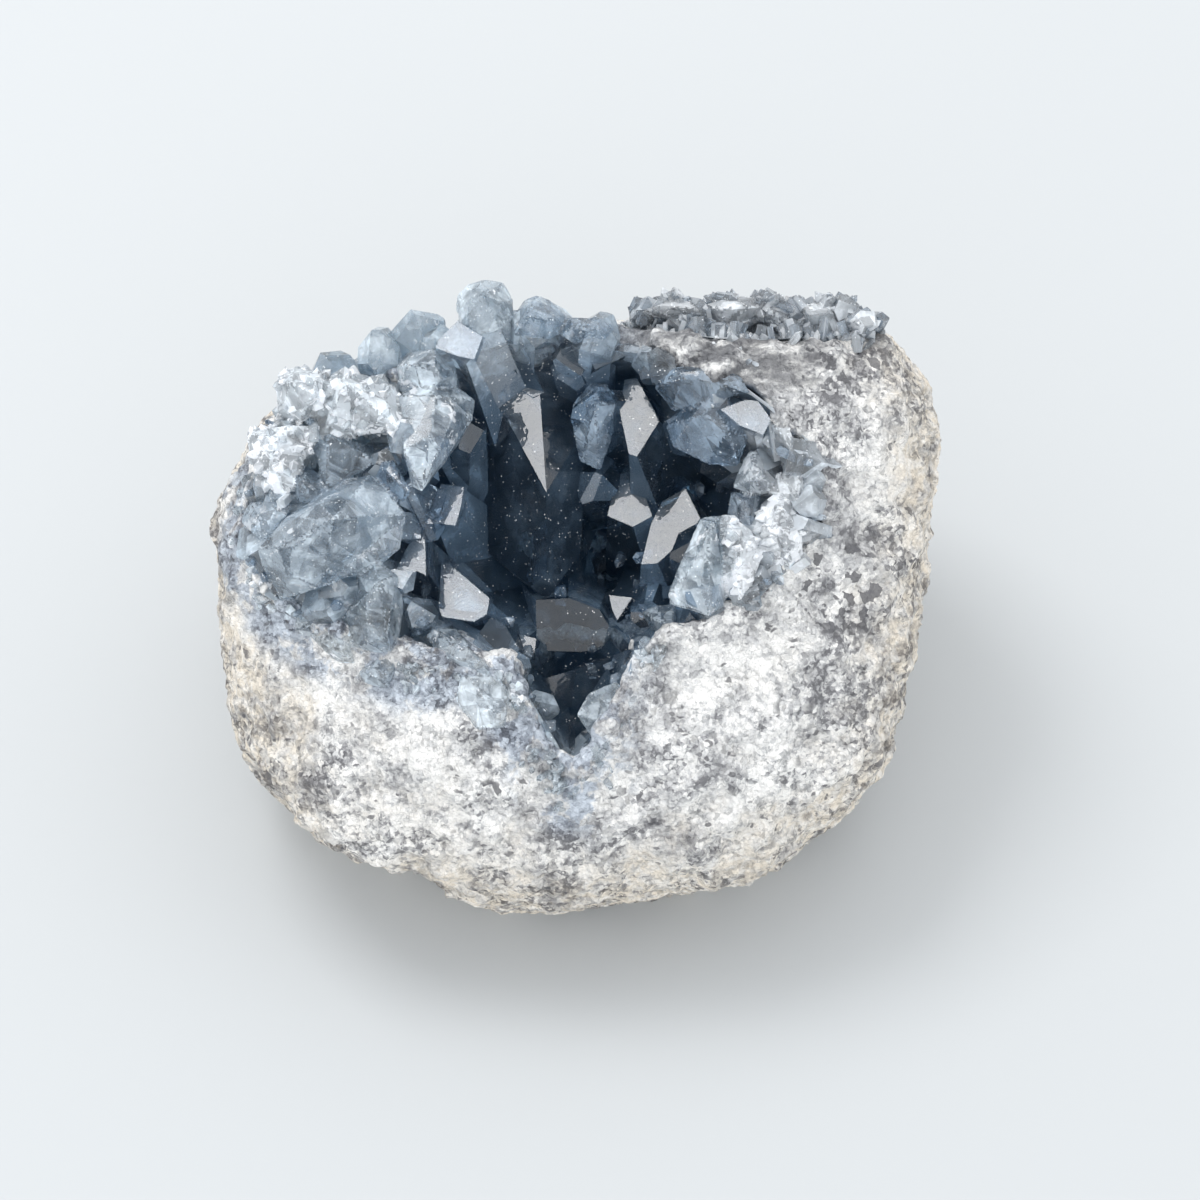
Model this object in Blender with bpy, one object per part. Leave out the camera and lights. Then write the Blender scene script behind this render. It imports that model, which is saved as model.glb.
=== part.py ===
"""A celestite geode: a lump of pale host rock whose broken hollow is lined with blue crystals.

Everything is shaped in the mouth frame, in millimetres: u runs to the right, v runs up the face
of the hollow, and w runs straight out of its mouth. ON_BASE then leans the lump back onto its
flat base, in metres, with Z up and the origin in the middle of the base.
"""

import math
import random

import bmesh
import bpy
from mathutils import Matrix, Vector, noise

# The lump: its outline seen straight into the mouth, as a radius every 15 degrees, anticlockwise from +u.
OUTLINE = (
    57.0, 61.0, 68.5, 67.0, 57.0, 49.0, 45.0, 45.0, 49.0, 55.0, 60.0, 61.5,
    60.0, 61.0, 62.0, 59.5, 54.0, 52.0, 52.0, 52.5, 54.0, 57.0, 59.5, 57.0,
)
FRONT_REACH = 31.0
BACK_REACH = 46.0
FRONT_SQUARENESS = 2.9
BACK_SQUARENESS = 2.5
LUMPS = ((24.0, 2.2), (11.0, 1.1), (6.5, 0.6))  # size of a lump and its height
DENTS = (  # middle, radius and depth of each broad dent
    ((-34.0, -46.0, 2.0), 10.0, 3.5),
    ((46.0, 8.0, 24.0), 13.0, 2.0),
    ((-44.0, -22.0, 22.0), 14.0, 2.0),
    ((8.0, -46.0, 18.0), 12.0, 1.6),
    ((60.0, -18.0, 2.0), 11.0, 2.2),
    ((20.0, 10.0, -46.0), 22.0, 2.5),
)

LUMP_CUTS = 12  # cuts along each edge of the block that the lump is blown up from
HOLLOW_DETAIL = 3
WIDE_HOLLOW = 25.0  # a narrower hollow than this has one step less detail
BLOCK_SIZE = 200.0  # the block each crystal is cut from

# How the lump stands: its mouth leans forward from straight up, over the middle of a base that is cut flat.
MOUTH_LEAN = math.radians(35.0)
MIDDLE_OVER_BASE = (0.1, -1.6, 38.0)
ON_BASE = (
    Matrix.Scale(0.001, 4)
    @ Matrix.Translation(MIDDLE_OVER_BASE)
    @ Matrix.Rotation(MOUTH_LEAN, 4, "X")
)

# The hollows cut into the lump: middle, radii, narrowing towards -v and +u, and depth of crust on the floor.
BOWL = ((3.0, 17.0, 26.0), (38.5, 28.0, 37.0), (0.0, 0.24), 9.0)
NOTCH = ((-0.5, -8.0, 27.0), (12.5, 21.5, 24.0), (0.75, 0.0), 6.0)
SHELF = ((-40.0, 20.0, 34.5), (21.0, 27.0, 22.0), (0.0, 0.0), 5.0)
SADDLE = ((-25.0, 4.0, 32.0), (13.0, 15.0, 21.0), (0.0, 0.0), 4.0)
PIT = ((4.0, 8.0, 3.0), (5.0, 8.0, 12.0), (0.0, 0.0), 2.0)
TROUGH = ((29.5, 47.8, 16.5), (23.5, 7.5, 11.0), (0.0, 0.0), 4.0)
HOLLOWS = (BOWL, NOTCH, SHELF, SADDLE, PIT, TROUGH)
HOLLOW_LUMPS = ((16.0, 1.6), (7.0, 0.7))

RIM_CRUST = 0.9  # thickness of the crust at a hollow's edge
GAP = 0.3  # between the stone and what grows on it
CRUST_SETBACK = 0.6  # the crust's bed ends this far under the lump's skin

# Where the broad faces of many crystals look, so that they catch the light together.
GLEAM = Vector((-0.20, 0.43, 0.88)).normalized()

# Angles of the crystal's own faces: its prism, its wedge and the corners of the wedge.
PRISM_ANGLE = math.radians(52.0)
WEDGE_ANGLE = math.radians(39.4)
CORNER_ANGLE = math.radians(57.0)
CORNER_TURN = math.radians(27.0)
PRISM_REACH = 0.42  # where these faces stand, as shares of the crystal's width or thickness
WEDGE_SETBACK = 0.04
CORNER_SETBACK = 0.1
FACE_VARIATION = (0.82, 1.12)

# The great crystal: one corner and the outward direction of each of its faces.
GREAT_RIDGE_TOP = (-4.9, 17.5, 21.0)
GREAT_RIDGE_FOOT = (-5.1, 4.2, 19.4)
GREAT_CRYSTAL = (
    (GREAT_RIDGE_TOP, GLEAM),
    (GREAT_RIDGE_TOP, (-0.795, -0.06, 0.602)),
    (GREAT_RIDGE_TOP, (0.846, -0.053, 0.529)),
    (GREAT_RIDGE_FOOT, (-0.15, -0.80, 0.58)),
    ((1.3, 20.0, 10.0), (0.998, -0.064, 0.0)),
    ((-19.2, 11.2, 0.0), (-0.65, -0.76, 0.05)),
    ((-19.3, 16.0, 0.0), (-0.99, 0.14, 0.0)),
    ((-0.5, 6.3, 10.0), (0.82, -0.57, 0.0)),
    (GREAT_RIDGE_TOP, (0.396, 0.436, 0.808)),
    ((-13.5, 33.0, 10.0), (-0.48, 0.60, 0.64)),
    ((-8.0, 39.0, 8.0), (-0.1, 0.99, 0.1)),
    ((0.0, 0.0, -9.0), (0.0, 0.0, -1.0)),
)

# Crystals with one broad face in view: its corners (u, v), its depth w and the way it looks.
TABLES = (
    (((-22.8, 41.5), (-20.2, 44.3), (-17.2, 45.7), (-14.8, 41.8), (-17.8, 38.2)), 23.0, GLEAM),
    (((7.8, 36.0), (9.8, 36.3), (13.5, 29.2), (9.8, 23.3), (8.5, 23.7), (7.0, 31.0)), 19.0, GLEAM),
    (((9.7, 22.2), (12.3, 13.7), (9.2, 12.0), (5.0, 13.8), (6.5, 20.0)), 13.0, GLEAM),
    (
        ((17.8, 18.3), (20.2, 13.3), (18.0, 10.3), (13.2, 6.0), (10.5, 5.8), (12.2, 12.5), (14.0, 16.2)),
        16.0,
        GLEAM,
    ),
    (((-22.2, 5.8), (-20.8, 6.0), (-13.8, -0.5), (-14.3, -2.8), (-15.3, -3.3), (-21.7, -2.5)), 17.5, GLEAM),
    (((-25.4, 11.5), (-24.3, 10.2), (-24.0, 4.2), (-28.8, 4.5), (-27.5, 8.5)), 20.5, GLEAM),
    (((-21.8, 18.7), (-18.2, 18.0), (-19.0, 14.0), (-22.5, 11.3), (-24.3, 12.0), (-22.8, 15.7)), 15.5, GLEAM),
    (((5.3, 0.8), (9.1, 0.4), (6.6, -3.3), (5.8, -1.6)), 14.0, GLEAM),
    (((23.3, 30.6), (28.8, 32.2), (30.2, 31.0), (31.4, 27.9), (28.8, 26.5), (26.4, 27.9)), 23.0, GLEAM),
    (((-9.4, -5.6), (-6.6, -6.3), (-7.0, -9.3), (-8.4, -9.0)), 19.5, GLEAM),
    (
        ((-16.2, -5.9), (-13.9, -2.7), (-11.7, -4.0), (-9.3, -8.0), (-11.5, -10.8), (-15.8, -8.7)),
        22.5,
        (-0.1, 0.12, 0.99),
    ),
    (
        ((-6.7, 0.0), (-1.3, 0.3), (3.7, -1.6), (6.2, -5.9), (5.0, -7.3), (1.0, -8.5), (-6.5, -8.3)),
        15.5,
        (0.05, -0.1, 0.99),
    ),
    (
        ((-10.8, -12.6), (-4.0, -10.2), (5.5, -9.6), (10.8, -8.0), (7.5, -13.0), (0.5, -17.5), (-7.5, -17.5)),
        16.5,
        (0.12, -0.30, 0.95),
    ),
    (((1.0, 41.5), (6.0, 42.5), (8.5, 40.0), (3.0, 37.5)), 19.5, (0.25, 0.05, 0.97)),
)
TABLE_LEAN = math.radians(11.0)  # the sides of these crystals spread below the broad face
TABLE_DEPTH = 20.0

# Single crystals: root, tip, width, thickness and roll in degrees.
SINGLES = (
    # beside and behind the great crystal
    ((4.0, 24.0, 2.0), (3.5, 33.0, 20.5), 11.0, 9.0, 20.0),
    ((-9.5, 32.5, -2.0), (-11.5, 38.5, 14.0), 9.5, 8.0, 55.0),
    ((2.5, 15.0, -4.0), (3.6, 20.5, 15.5), 9.0, 8.0, 75.0),
    # the upper right of the bowl
    ((24.0, 28.0, 2.0), (15.5, 29.5, 21.5), 12.0, 10.0, 35.0),
    ((27.0, 22.0, 2.0), (21.0, 24.5, 20.5), 12.5, 9.0, 80.0),
    ((31.0, 30.0, 6.0), (24.5, 33.5, 22.5), 9.5, 8.0, 10.0),
    # the pale crystals on the right rim
    ((21.0, 4.0, 6.0), (20.5, 9.5, 27.5), 12.5, 9.5, 15.0),
    ((29.0, 6.0, 10.0), (27.5, 9.0, 28.0), 11.0, 9.0, 60.0),
    ((34.0, 20.0, 8.0), (30.0, 20.5, 26.5), 9.5, 8.0, 40.0),
    ((36.0, 12.0, 10.0), (33.0, 13.5, 27.5), 9.5, 8.0, 70.0),
    ((34.0, 28.0, 8.0), (32.5, 27.5, 26.0), 8.0, 7.0, 25.0),
    # the foot of the bowl and the notch
    ((14.0, -3.0, -2.0), (11.5, -1.0, 17.0), 10.0, 8.0, 30.0),
    ((-18.0, -11.0, 8.0), (-16.5, -8.0, 26.0), 9.5, 7.5, 10.0),
    ((-25.0, -10.0, 10.0), (-23.0, -6.0, 28.0), 9.5, 7.5, 50.0),
    ((-31.5, -8.0, 12.0), (-30.0, -4.0, 28.5), 8.5, 7.0, 70.0),
    ((-11.5, -12.5, 10.0), (-10.5, -11.0, 27.0), 7.0, 6.0, 50.0),
    ((-7.0, -18.0, 10.0), (-6.0, -17.0, 26.0), 6.5, 5.5, 30.0),
    ((6.5, -19.0, 10.0), (5.5, -17.5, 27.5), 7.0, 5.5, 70.0),
    ((9.0, -12.0, 10.0), (8.0, -10.5, 26.0), 6.5, 5.5, 35.0),
    ((2.5, -24.0, 14.0), (2.0, -23.0, 27.0), 5.5, 4.5, 15.0),
    # the pale crystals left of the great one
    ((-18.0, 19.0, 2.0), (-27.0, 37.0, 24.5), 13.0, 10.0, 55.0),
    ((-20.0, 16.0, 0.0), (-19.0, 30.0, 20.5), 8.5, 7.0, 5.0),
    ((-29.0, 14.0, 6.0), (-24.5, 18.5, 19.0), 8.0, 7.0, 35.0),
    ((-33.0, -9.0, 10.0), (-31.5, 6.0, 27.0), 11.0, 9.0, 30.0),
    # the broken mass on the left rim
    ((-49.5, 4.5, 22.0), (-29.5, 16.5, 27.5), 15.0, 11.0, 62.0),
    ((-42.0, 26.0, 15.0), (-36.5, 35.0, 28.0), 15.0, 12.0, 40.0),
    ((-45.5, 22.0, 14.0), (-47.0, 28.0, 26.5), 12.5, 10.0, 10.0),
    ((-47.5, 15.0, 13.0), (-51.5, 18.5, 24.0), 10.5, 9.0, 50.0),
    ((-38.0, 20.0, 10.0), (-36.5, 24.0, 24.5), 12.0, 9.0, 75.0),
    ((-40.0, 1.0, 18.0), (-40.0, -2.0, 30.5), 9.0, 7.5, 20.0),
    ((-46.5, 5.0, 16.0), (-47.0, 1.5, 27.5), 8.0, 7.0, 40.0),
    ((-51.0, 11.0, 12.0), (-52.5, 8.5, 24.5), 8.5, 7.0, 65.0),
    # the clear tips on the back rim
    ((-38.0, 31.0, 15.0), (-41.0, 39.5, 24.0), 10.0, 8.0, 35.0),
    ((-31.0, 35.0, 14.0), (-32.5, 43.5, 23.0), 9.5, 8.0, 75.0),
    ((-25.0, 37.0, 12.0), (-26.5, 46.5, 22.0), 9.0, 7.5, 20.0),
    ((-15.5, 37.0, 9.0), (-15.0, 50.5, 21.0), 10.5, 9.0, 45.0),
    ((-6.5, 36.0, 9.0), (-5.8, 48.5, 20.0), 11.0, 8.5, 15.0),
    ((2.5, 34.0, 6.0), (3.4, 45.5, 23.0), 9.0, 7.5, 70.0),
    ((-0.5, 33.0, 2.0), (-0.5, 40.0, 18.5), 9.0, 8.0, 30.0),
    ((-18.0, 34.0, 9.0), (-24.0, 42.5, 24.0), 9.5, 7.5, 60.0),
)

# Crystals strewn over the crust: rows, crystals in the longest row, and the range of lengths and widths.
BOWL_LINING = (4, 14, (8.0, 13.0), (4.5, 7.5))
SHELF_LINING = (3, 10, (7.0, 10.5), (5.0, 8.5))
NOTCH_LINING = (3, 7, (5.0, 7.5), (3.0, 5.0))
RIM_LINING = (27, (6.5, 9.5), (4.5, 7.0))
TROUGH_LINING = (17, (6.0, 8.5), (4.0, 6.5))
TROUGH_SPAN = 0.85  # share of the ledge's length that its crystals fill
LOWEST_SEAT = math.radians(160.0)
GREAT_OUTLINE = ((-20.5, 0.0), (8.0, 37.0))  # no strewn crystal ends in front of the great one
ROOT_DEPTH = 3.5  # how far a strewn crystal is rooted in the crust
TOP_ROW = math.radians(98.0)  # rows of strewn crystals, as angles from the mouth's direction
BOTTOM_ROW = math.radians(148.0)
SEAT_STEP = math.radians(2.0)
ROW_SEAT = 2.5  # how far under the lump's skin a row's crystals and the rim's crystals stand
RIM_SEAT = 3.0
SEED = 11

STONE_COLOUR = (0.60, 0.58, 0.55, 1.0)
CRYSTAL_COLOUR = (0.16, 0.25, 0.34, 1.0)
PALE_COLOUR = (0.34, 0.44, 0.52, 1.0)


def clear_scene():
    for obj in list(bpy.data.objects):
        bpy.data.objects.remove(obj)


def new_collection(name):
    collection = bpy.data.collections.new(name)
    bpy.context.scene.collection.children.link(collection)
    return collection


def new_material(name, colour, roughness, transmission=0.0):
    material = bpy.data.materials.new(name)
    material.use_nodes = True
    shader = material.node_tree.nodes["Principled BSDF"]
    shader.inputs["Base Color"].default_value = colour
    shader.inputs["Roughness"].default_value = roughness
    shader.inputs["Metallic"].default_value = 0.0
    shader.inputs["Transmission Weight"].default_value = transmission
    return material


def new_object(name, shape, collection):
    """A mesh object from a bmesh, which is freed."""
    mesh = bpy.data.meshes.new(name)
    shape.to_mesh(mesh)
    shape.free()
    obj = bpy.data.objects.new(name, mesh)
    collection.objects.link(obj)
    return obj


def hide(obj):
    obj.hide_render = True
    obj.display_type = "WIRE"


def outline_radius(angle):
    """The lump's outline, smooth through the radii of OUTLINE."""
    place = angle / math.tau * len(OUTLINE)
    first = math.floor(place)
    share = place - first
    before, start, end, after = (OUTLINE[(first + step) % len(OUTLINE)] for step in (-1, 0, 1, 2))
    bend = 3 * (start - end) + after - before
    slope = 2 * before - 5 * start + 4 * end - after
    return start + 0.5 * share * (end - before + share * (slope + share * bend))


def lumpiness(point, lumps):
    return sum(height * noise.noise(point / size) for size, height in lumps)


def front_height(u, v):
    """How far the lump's front skin stands at a place inside its outline."""
    share = min(1.0, math.hypot(u, v) / outline_radius(math.atan2(v, u)))
    return FRONT_REACH * (1.0 - share**FRONT_SQUARENESS) ** (1.0 / FRONT_SQUARENESS)


def shape_lump(shape, growth):
    """Turns a unit ball into the host rock's outer form, grown outwards by growth."""
    for vertex in shape.verts:
        front = vertex.co.z > 0.0
        squareness = FRONT_SQUARENESS if front else BACK_SQUARENESS
        reach = FRONT_REACH if front else BACK_REACH
        angle = math.atan2(vertex.co.y, vertex.co.x)
        radius = outline_radius(angle) * math.hypot(vertex.co.x, vertex.co.y) ** (2.0 / squareness)
        depth = reach * math.copysign(abs(vertex.co.z) ** (2.0 / squareness), vertex.co.z)
        vertex.co = (radius * math.cos(angle), radius * math.sin(angle), depth)
    shape.normal_update()
    for vertex in shape.verts:
        height = lumpiness(vertex.co, LUMPS)
        for middle, radius, depth in DENTS:
            height -= depth * math.exp(-(((vertex.co - Vector(middle)).length / radius) ** 2))
        vertex.co += vertex.normal * height
    shape.normal_update()
    for vertex in shape.verts:
        vertex.co += vertex.normal * growth


def add_lump(name, growth, collection):
    """The host rock without its hollows, from a divided block blown up to a ball."""
    shape = bmesh.new()
    bmesh.ops.create_cube(shape, size=2.0)
    bmesh.ops.subdivide_edges(shape, edges=shape.edges, cuts=LUMP_CUTS, use_grid_fill=True)
    for vertex in shape.verts:
        vertex.co = Vector(math.tan(part * math.pi / 4.0) for part in vertex.co).normalized()
    bmesh.ops.triangulate(shape, faces=shape.faces, quad_method="FIXED")
    shape_lump(shape, growth)
    return new_object(name, shape, collection)


def hollow_place(hollow, direction, shrink=0.0, rise=0.0):
    """A place on a hollow's wall, in a direction from its middle."""
    middle, radii, taper, _ = hollow
    u, v, w = (part * (radius - shrink) for part, radius in zip(direction, radii))
    u *= 1.0 - taper[0] * max(0.0, -direction[1])
    v *= 1.0 - taper[1] * direction[0]
    return Vector((middle[0] + u, middle[1] + v, middle[2] + rise + w))


def add_hollow(name, hollow, collection, shrink=0.0, rise=0.0):
    """A lumpy ball that cuts one hollow."""
    shape = bmesh.new()
    detail = HOLLOW_DETAIL if max(hollow[1]) > WIDE_HOLLOW else HOLLOW_DETAIL - 1
    bmesh.ops.create_icosphere(shape, subdivisions=detail, radius=1.0)
    for vertex in shape.verts:
        vertex.co = hollow_place(hollow, vertex.co.copy())
    shape.normal_update()
    heights = [lumpiness(vertex.co, HOLLOW_LUMPS) for vertex in shape.verts]
    for vertex, height in zip(shape.verts, heights):
        vertex.co += vertex.normal * (height - shrink)
        vertex.co.z += rise
    return new_object(name, shape, collection)


def cut_crystal(name, faces, collection):
    """A crystal: a block cut down to its faces, each given by a point and an outward direction."""
    shape = bmesh.new()
    middle = sum((Vector(point) for point, _ in faces), Vector()) / len(faces)
    bmesh.ops.create_cube(shape, size=BLOCK_SIZE, matrix=Matrix.Translation(middle))
    for point, outward in faces:
        whole = shape.verts[:] + shape.edges[:] + shape.faces[:]
        cut = bmesh.ops.bisect_plane(
            shape, geom=whole, dist=1e-4, plane_co=point, plane_no=Vector(outward), clear_outer=True
        )
        edges = [part for part in cut["geom_cut"] if isinstance(part, bmesh.types.BMEdge)]
        if edges:
            bmesh.ops.edgeloop_fill(shape, edges=edges)
    bmesh.ops.remove_doubles(shape, verts=shape.verts, dist=1e-3)
    bmesh.ops.recalc_face_normals(shape, faces=shape.faces)
    if len(shape.faces) < 4:
        shape.free()
        return
    new_object(name, shape, collection)


def table_faces(corners, depth, looks):
    """The faces of a crystal whose broad face has these corners, with sides that spread below it."""
    looks = Vector(looks).normalized()
    middle = sum((Vector(corner) for corner in corners), Vector((0.0, 0.0))) / len(corners)
    level = looks.dot(Vector((middle.x, middle.y, depth)))
    ring = [Vector((u, v, (level - looks.x * u - looks.y * v) / looks.z)) for u, v in corners]
    centre = sum(ring, Vector()) / len(ring)
    faces = [(centre, looks), (centre - looks * TABLE_DEPTH, -looks)]
    for first, second in zip(ring, ring[1:] + ring[:1]):
        aside = (second - first).cross(looks).normalized()
        if aside.dot(first - centre) < 0.0:
            aside.negate()
        faces.append((first, aside * math.cos(TABLE_LEAN) + looks * math.sin(TABLE_LEAN)))
    return faces


def habit_faces(root, tip, width, thickness, roll, chance, ends=True):
    """The faces of a crystal of the mineral's usual habit: a flattened prism that ends in a wedge.

    The ends are the narrow sides of the prism and the small faces at the wedge's corners.
    """
    root, tip = Vector(root), Vector(tip)
    turn = (tip - root).to_track_quat("Z", "Y").to_matrix() @ Matrix.Rotation(math.radians(roll), 3, "Z")

    def face(base, size, *direction):
        outward = (turn @ Vector(direction)).normalized()
        return base + outward * size * chance.uniform(*FACE_VARIATION), outward

    faces = [(root, turn @ Vector((0.0, 0.0, -1.0)))]
    for side in (-1.0, 1.0):
        faces.append(face(root, thickness / 2.0, 0.0, side, 0.0))
        wedge = (side * math.sin(WEDGE_ANGLE), 0.0, math.cos(WEDGE_ANGLE))
        faces.append(face(tip, WEDGE_SETBACK * width, *wedge))
        if ends:
            faces.append(face(root, width / 2.0, side, 0.0, 0.0))
        for other in (-1.0, 1.0):
            prism = (side * math.sin(PRISM_ANGLE), other * math.cos(PRISM_ANGLE), 0.0)
            faces.append(face(root, PRISM_REACH * width, *prism))
            if ends:
                corner = math.sin(CORNER_ANGLE)
                sideways = (side * corner * math.sin(CORNER_TURN), other * corner * math.cos(CORNER_TURN))
                faces.append(face(tip, CORNER_SETBACK * thickness, *sideways, math.cos(CORNER_ANGLE)))
    return faces


def in_the_way(tip):
    """Whether a strewn crystal would end in front of the great one or of a broad face."""
    low, high = GREAT_OUTLINE
    if low[0] < tip.x < high[0] and low[1] < tip.y < high[1]:
        return True
    for corners, _, _ in TABLES:
        middle = sum((Vector(corner) for corner in corners), Vector((0.0, 0.0))) / len(corners)
        reach = max((Vector(corner) - middle).length for corner in corners)
        if (tip.xy - middle).length < reach:
            return True
    return False


def strew_crystal(name, wall, axis, lengths, widths, chance, collection):
    """A small crystal of chance size that grows out of the crust at a place on its wall."""
    axis = axis.normalized()
    root = wall - axis * ROOT_DEPTH
    tip = root + axis * chance.uniform(*lengths)
    width = chance.uniform(*widths)
    thickness = width * chance.uniform(0.65, 0.95)
    roll = chance.uniform(0.0, 180.0)
    faces = habit_faces(root, tip, width, thickness, roll, chance, ends=False)
    if not in_the_way(tip):
        cut_crystal(name, faces, collection)


def wander(chance, reach):
    return Vector(chance.uniform(-reach, reach) for _ in range(3))


def seat(hollow, turn, polar, depth):
    """A place on a hollow's crust, moved down the wall until it is this deep under the lump's skin."""
    while polar < LOWEST_SEAT:
        direction = (math.sin(polar) * math.cos(turn), math.sin(polar) * math.sin(turn), math.cos(polar))
        wall = hollow_place(hollow, direction, shrink=RIM_CRUST, rise=hollow[3])
        if wall.z < front_height(wall.x, wall.y) - depth:
            return wall
        polar += SEAT_STEP
    return None


def line_hollow(name, hollow, lining, chance, collection):
    """Rows of crystals that stand on a hollow's crust and lean in over it."""
    rows, longest_row, lengths, widths = lining
    middle = hollow_place(hollow, (0.0, 0.0, 0.0), rise=hollow[3])
    for row in range(rows):
        polar = TOP_ROW + (BOTTOM_ROW - TOP_ROW) * row / rows
        count = max(3, round(longest_row * math.sin(polar)))
        for step in range(count):
            turn = math.tau * (step + chance.uniform(0.2, 0.8) + 0.5 * row) / count
            wall = seat(hollow, turn, polar, ROW_SEAT)
            if wall:
                axis = (middle - wall).normalized() + Vector((0.0, 0.0, 0.8)) + wander(chance, 0.35)
                strew_crystal(f"{name}_{row}_{step}", wall, axis, lengths, widths, chance, collection)


def add_rim_crystals(chance, collection):
    """Crystals around the mouth of the bowl that stand out of it."""
    count, lengths, widths = RIM_LINING
    for step in range(count):
        turn = math.tau * (step + chance.uniform(0.2, 0.8)) / count
        wall = seat(BOWL, turn, TOP_ROW, RIM_SEAT)
        inwards = Vector((-math.cos(turn), -math.sin(turn), 0.0))
        axis = 0.35 * inwards + Vector((0.0, 0.0, 0.9)) + wander(chance, 0.25)
        strew_crystal(f"rim_crystal_{step}", wall, axis, lengths, widths, chance, collection)


def add_trough_crystals(chance, collection):
    """Small crystals on the ledge behind the bare band of rock."""
    count, lengths, widths = TROUGH_LINING
    for step in range(count):
        along = TROUGH_SPAN * (2.0 * (step + 0.5) / count - 1.0)
        across = chance.uniform(-0.5, 0.05)
        direction = (along, across, -math.sqrt(1.0 - along * along - across * across))
        wall = hollow_place(TROUGH, direction, shrink=RIM_CRUST, rise=TROUGH[3])
        axis = Vector((0.0, 0.2, 0.9)) + wander(chance, 0.3)
        strew_crystal(f"trough_crystal_{step}", wall, axis, lengths, widths, chance, collection)


def add_crystals(collection):
    """Every crystal, each as its own block, before they are joined."""
    chance = random.Random(SEED)
    cut_crystal("great_crystal", GREAT_CRYSTAL, collection)
    for index, table in enumerate(TABLES):
        cut_crystal(f"table_crystal_{index}", table_faces(*table), collection)
    for index, single in enumerate(SINGLES):
        cut_crystal(f"single_crystal_{index}", habit_faces(*single, chance), collection)
    line_hollow("bowl_crystal", BOWL, BOWL_LINING, chance, collection)
    line_hollow("shelf_crystal", SHELF, SHELF_LINING, chance, collection)
    line_hollow("notch_crystal", NOTCH, NOTCH_LINING, chance, collection)
    add_rim_crystals(chance, collection)
    add_trough_crystals(chance, collection)


def apply_boolean(target, operation, tool):
    """Joins tool to target or cuts it away. The tool is an object or a collection of them."""
    modifier = target.modifiers.new("boolean", "BOOLEAN")
    modifier.operation = operation
    modifier.solver = "EXACT"
    if isinstance(tool, bpy.types.Collection):
        modifier.operand_type = "COLLECTION"
        modifier.collection = tool
    else:
        modifier.object = tool
    bpy.context.view_layer.update()
    evaluated = target.evaluated_get(bpy.context.evaluated_depsgraph_get())
    result = bpy.data.meshes.new_from_object(evaluated)
    target.modifiers.clear()
    target.data = result


def cut_hollows(lump, hollows, collection, crust=False, shrink=0.0):
    """Cuts the hollows into a lump, or only the space that their crust leaves open."""
    for index, hollow in enumerate(hollows):
        name = f"{lump.name}_cutter_{index}"
        rise = hollow[3] if crust else 0.0
        cutter = add_hollow(name, hollow, collection, RIM_CRUST if crust else shrink, rise)
        apply_boolean(lump, "DIFFERENCE", cutter)


def loose_pieces(obj):
    """The separate pieces of an object as new bmeshes, the largest first."""
    whole = bmesh.new()
    whole.from_mesh(obj.data)
    whole.verts.ensure_lookup_table()
    piece_of = {}
    for start in whole.verts:
        if start.index in piece_of:
            continue
        piece_of[start.index] = start.index
        waiting = [start]
        while waiting:
            for edge in waiting.pop().link_edges:
                for vertex in edge.verts:
                    if vertex.index not in piece_of:
                        piece_of[vertex.index] = start.index
                        waiting.append(vertex)
    pieces = []
    for label in sorted(set(piece_of.values())):
        piece = whole.copy()
        piece.verts.ensure_lookup_table()
        others = [vertex for vertex in piece.verts if piece_of[vertex.index] != label]
        bmesh.ops.delete(piece, geom=others, context="VERTS")
        pieces.append(piece)
    whole.free()
    return sorted(pieces, key=lambda piece: -abs(piece.calc_volume()))


def cut_base(shape):
    """Cuts the lump flat where it rests."""
    whole = shape.verts[:] + shape.edges[:] + shape.faces[:]
    base = ON_BASE.inverted() @ Vector((0.0, 0.0, 0.0))
    down = ON_BASE.to_3x3().inverted() @ Vector((0.0, 0.0, -1.0))
    cut = bmesh.ops.bisect_plane(
        shape, geom=whole, dist=1e-4, plane_co=base, plane_no=down.normalized(), clear_outer=True
    )
    edges = [part for part in cut["geom_cut"] if isinstance(part, bmesh.types.BMEdge)]
    bmesh.ops.edgeloop_fill(shape, edges=edges)


def finish_solid(name, shape, material, collection):
    """Stands a piece on the base and makes it a named object of triangles."""
    bmesh.ops.transform(shape, matrix=ON_BASE, verts=shape.verts)
    bmesh.ops.triangulate(shape, faces=shape.faces)
    obj = new_object(name, shape, collection)
    obj.data.materials.append(material)
    return obj


def main():
    clear_scene()
    geode = new_collection("celestite_geode")
    cutters = new_collection("cutters")
    crystals = new_collection("crystal_blocks")

    stone = add_lump("stone_block", 0.0, cutters)
    cut_hollows(stone, HOLLOWS, cutters)

    clearance = add_lump("clearance_block", GAP, cutters)
    cut_hollows(clearance, HOLLOWS, cutters, shrink=GAP)

    bed = add_lump("crust_block", -CRUST_SETBACK, cutters)
    cut_hollows(bed, HOLLOWS, cutters, crust=True)
    add_crystals(crystals)
    apply_boolean(bed, "UNION", crystals)
    apply_boolean(bed, "DIFFERENCE", clearance)

    rock = loose_pieces(stone)[0]
    cut_base(rock)
    crust, back_patch = loose_pieces(bed)[:2]
    finish_solid("matrix", rock, new_material("host_rock", STONE_COLOUR, 0.9), geode)
    finish_solid("crystal_crust", crust, new_material("blue_celestite", CRYSTAL_COLOUR, 0.08, 0.8), geode)
    finish_solid("back_crystals", back_patch, new_material("pale_celestite", PALE_COLOUR, 0.15, 0.7), geode)
    for obj in (*cutters.objects, *crystals.objects):
        hide(obj)


main()
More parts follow.
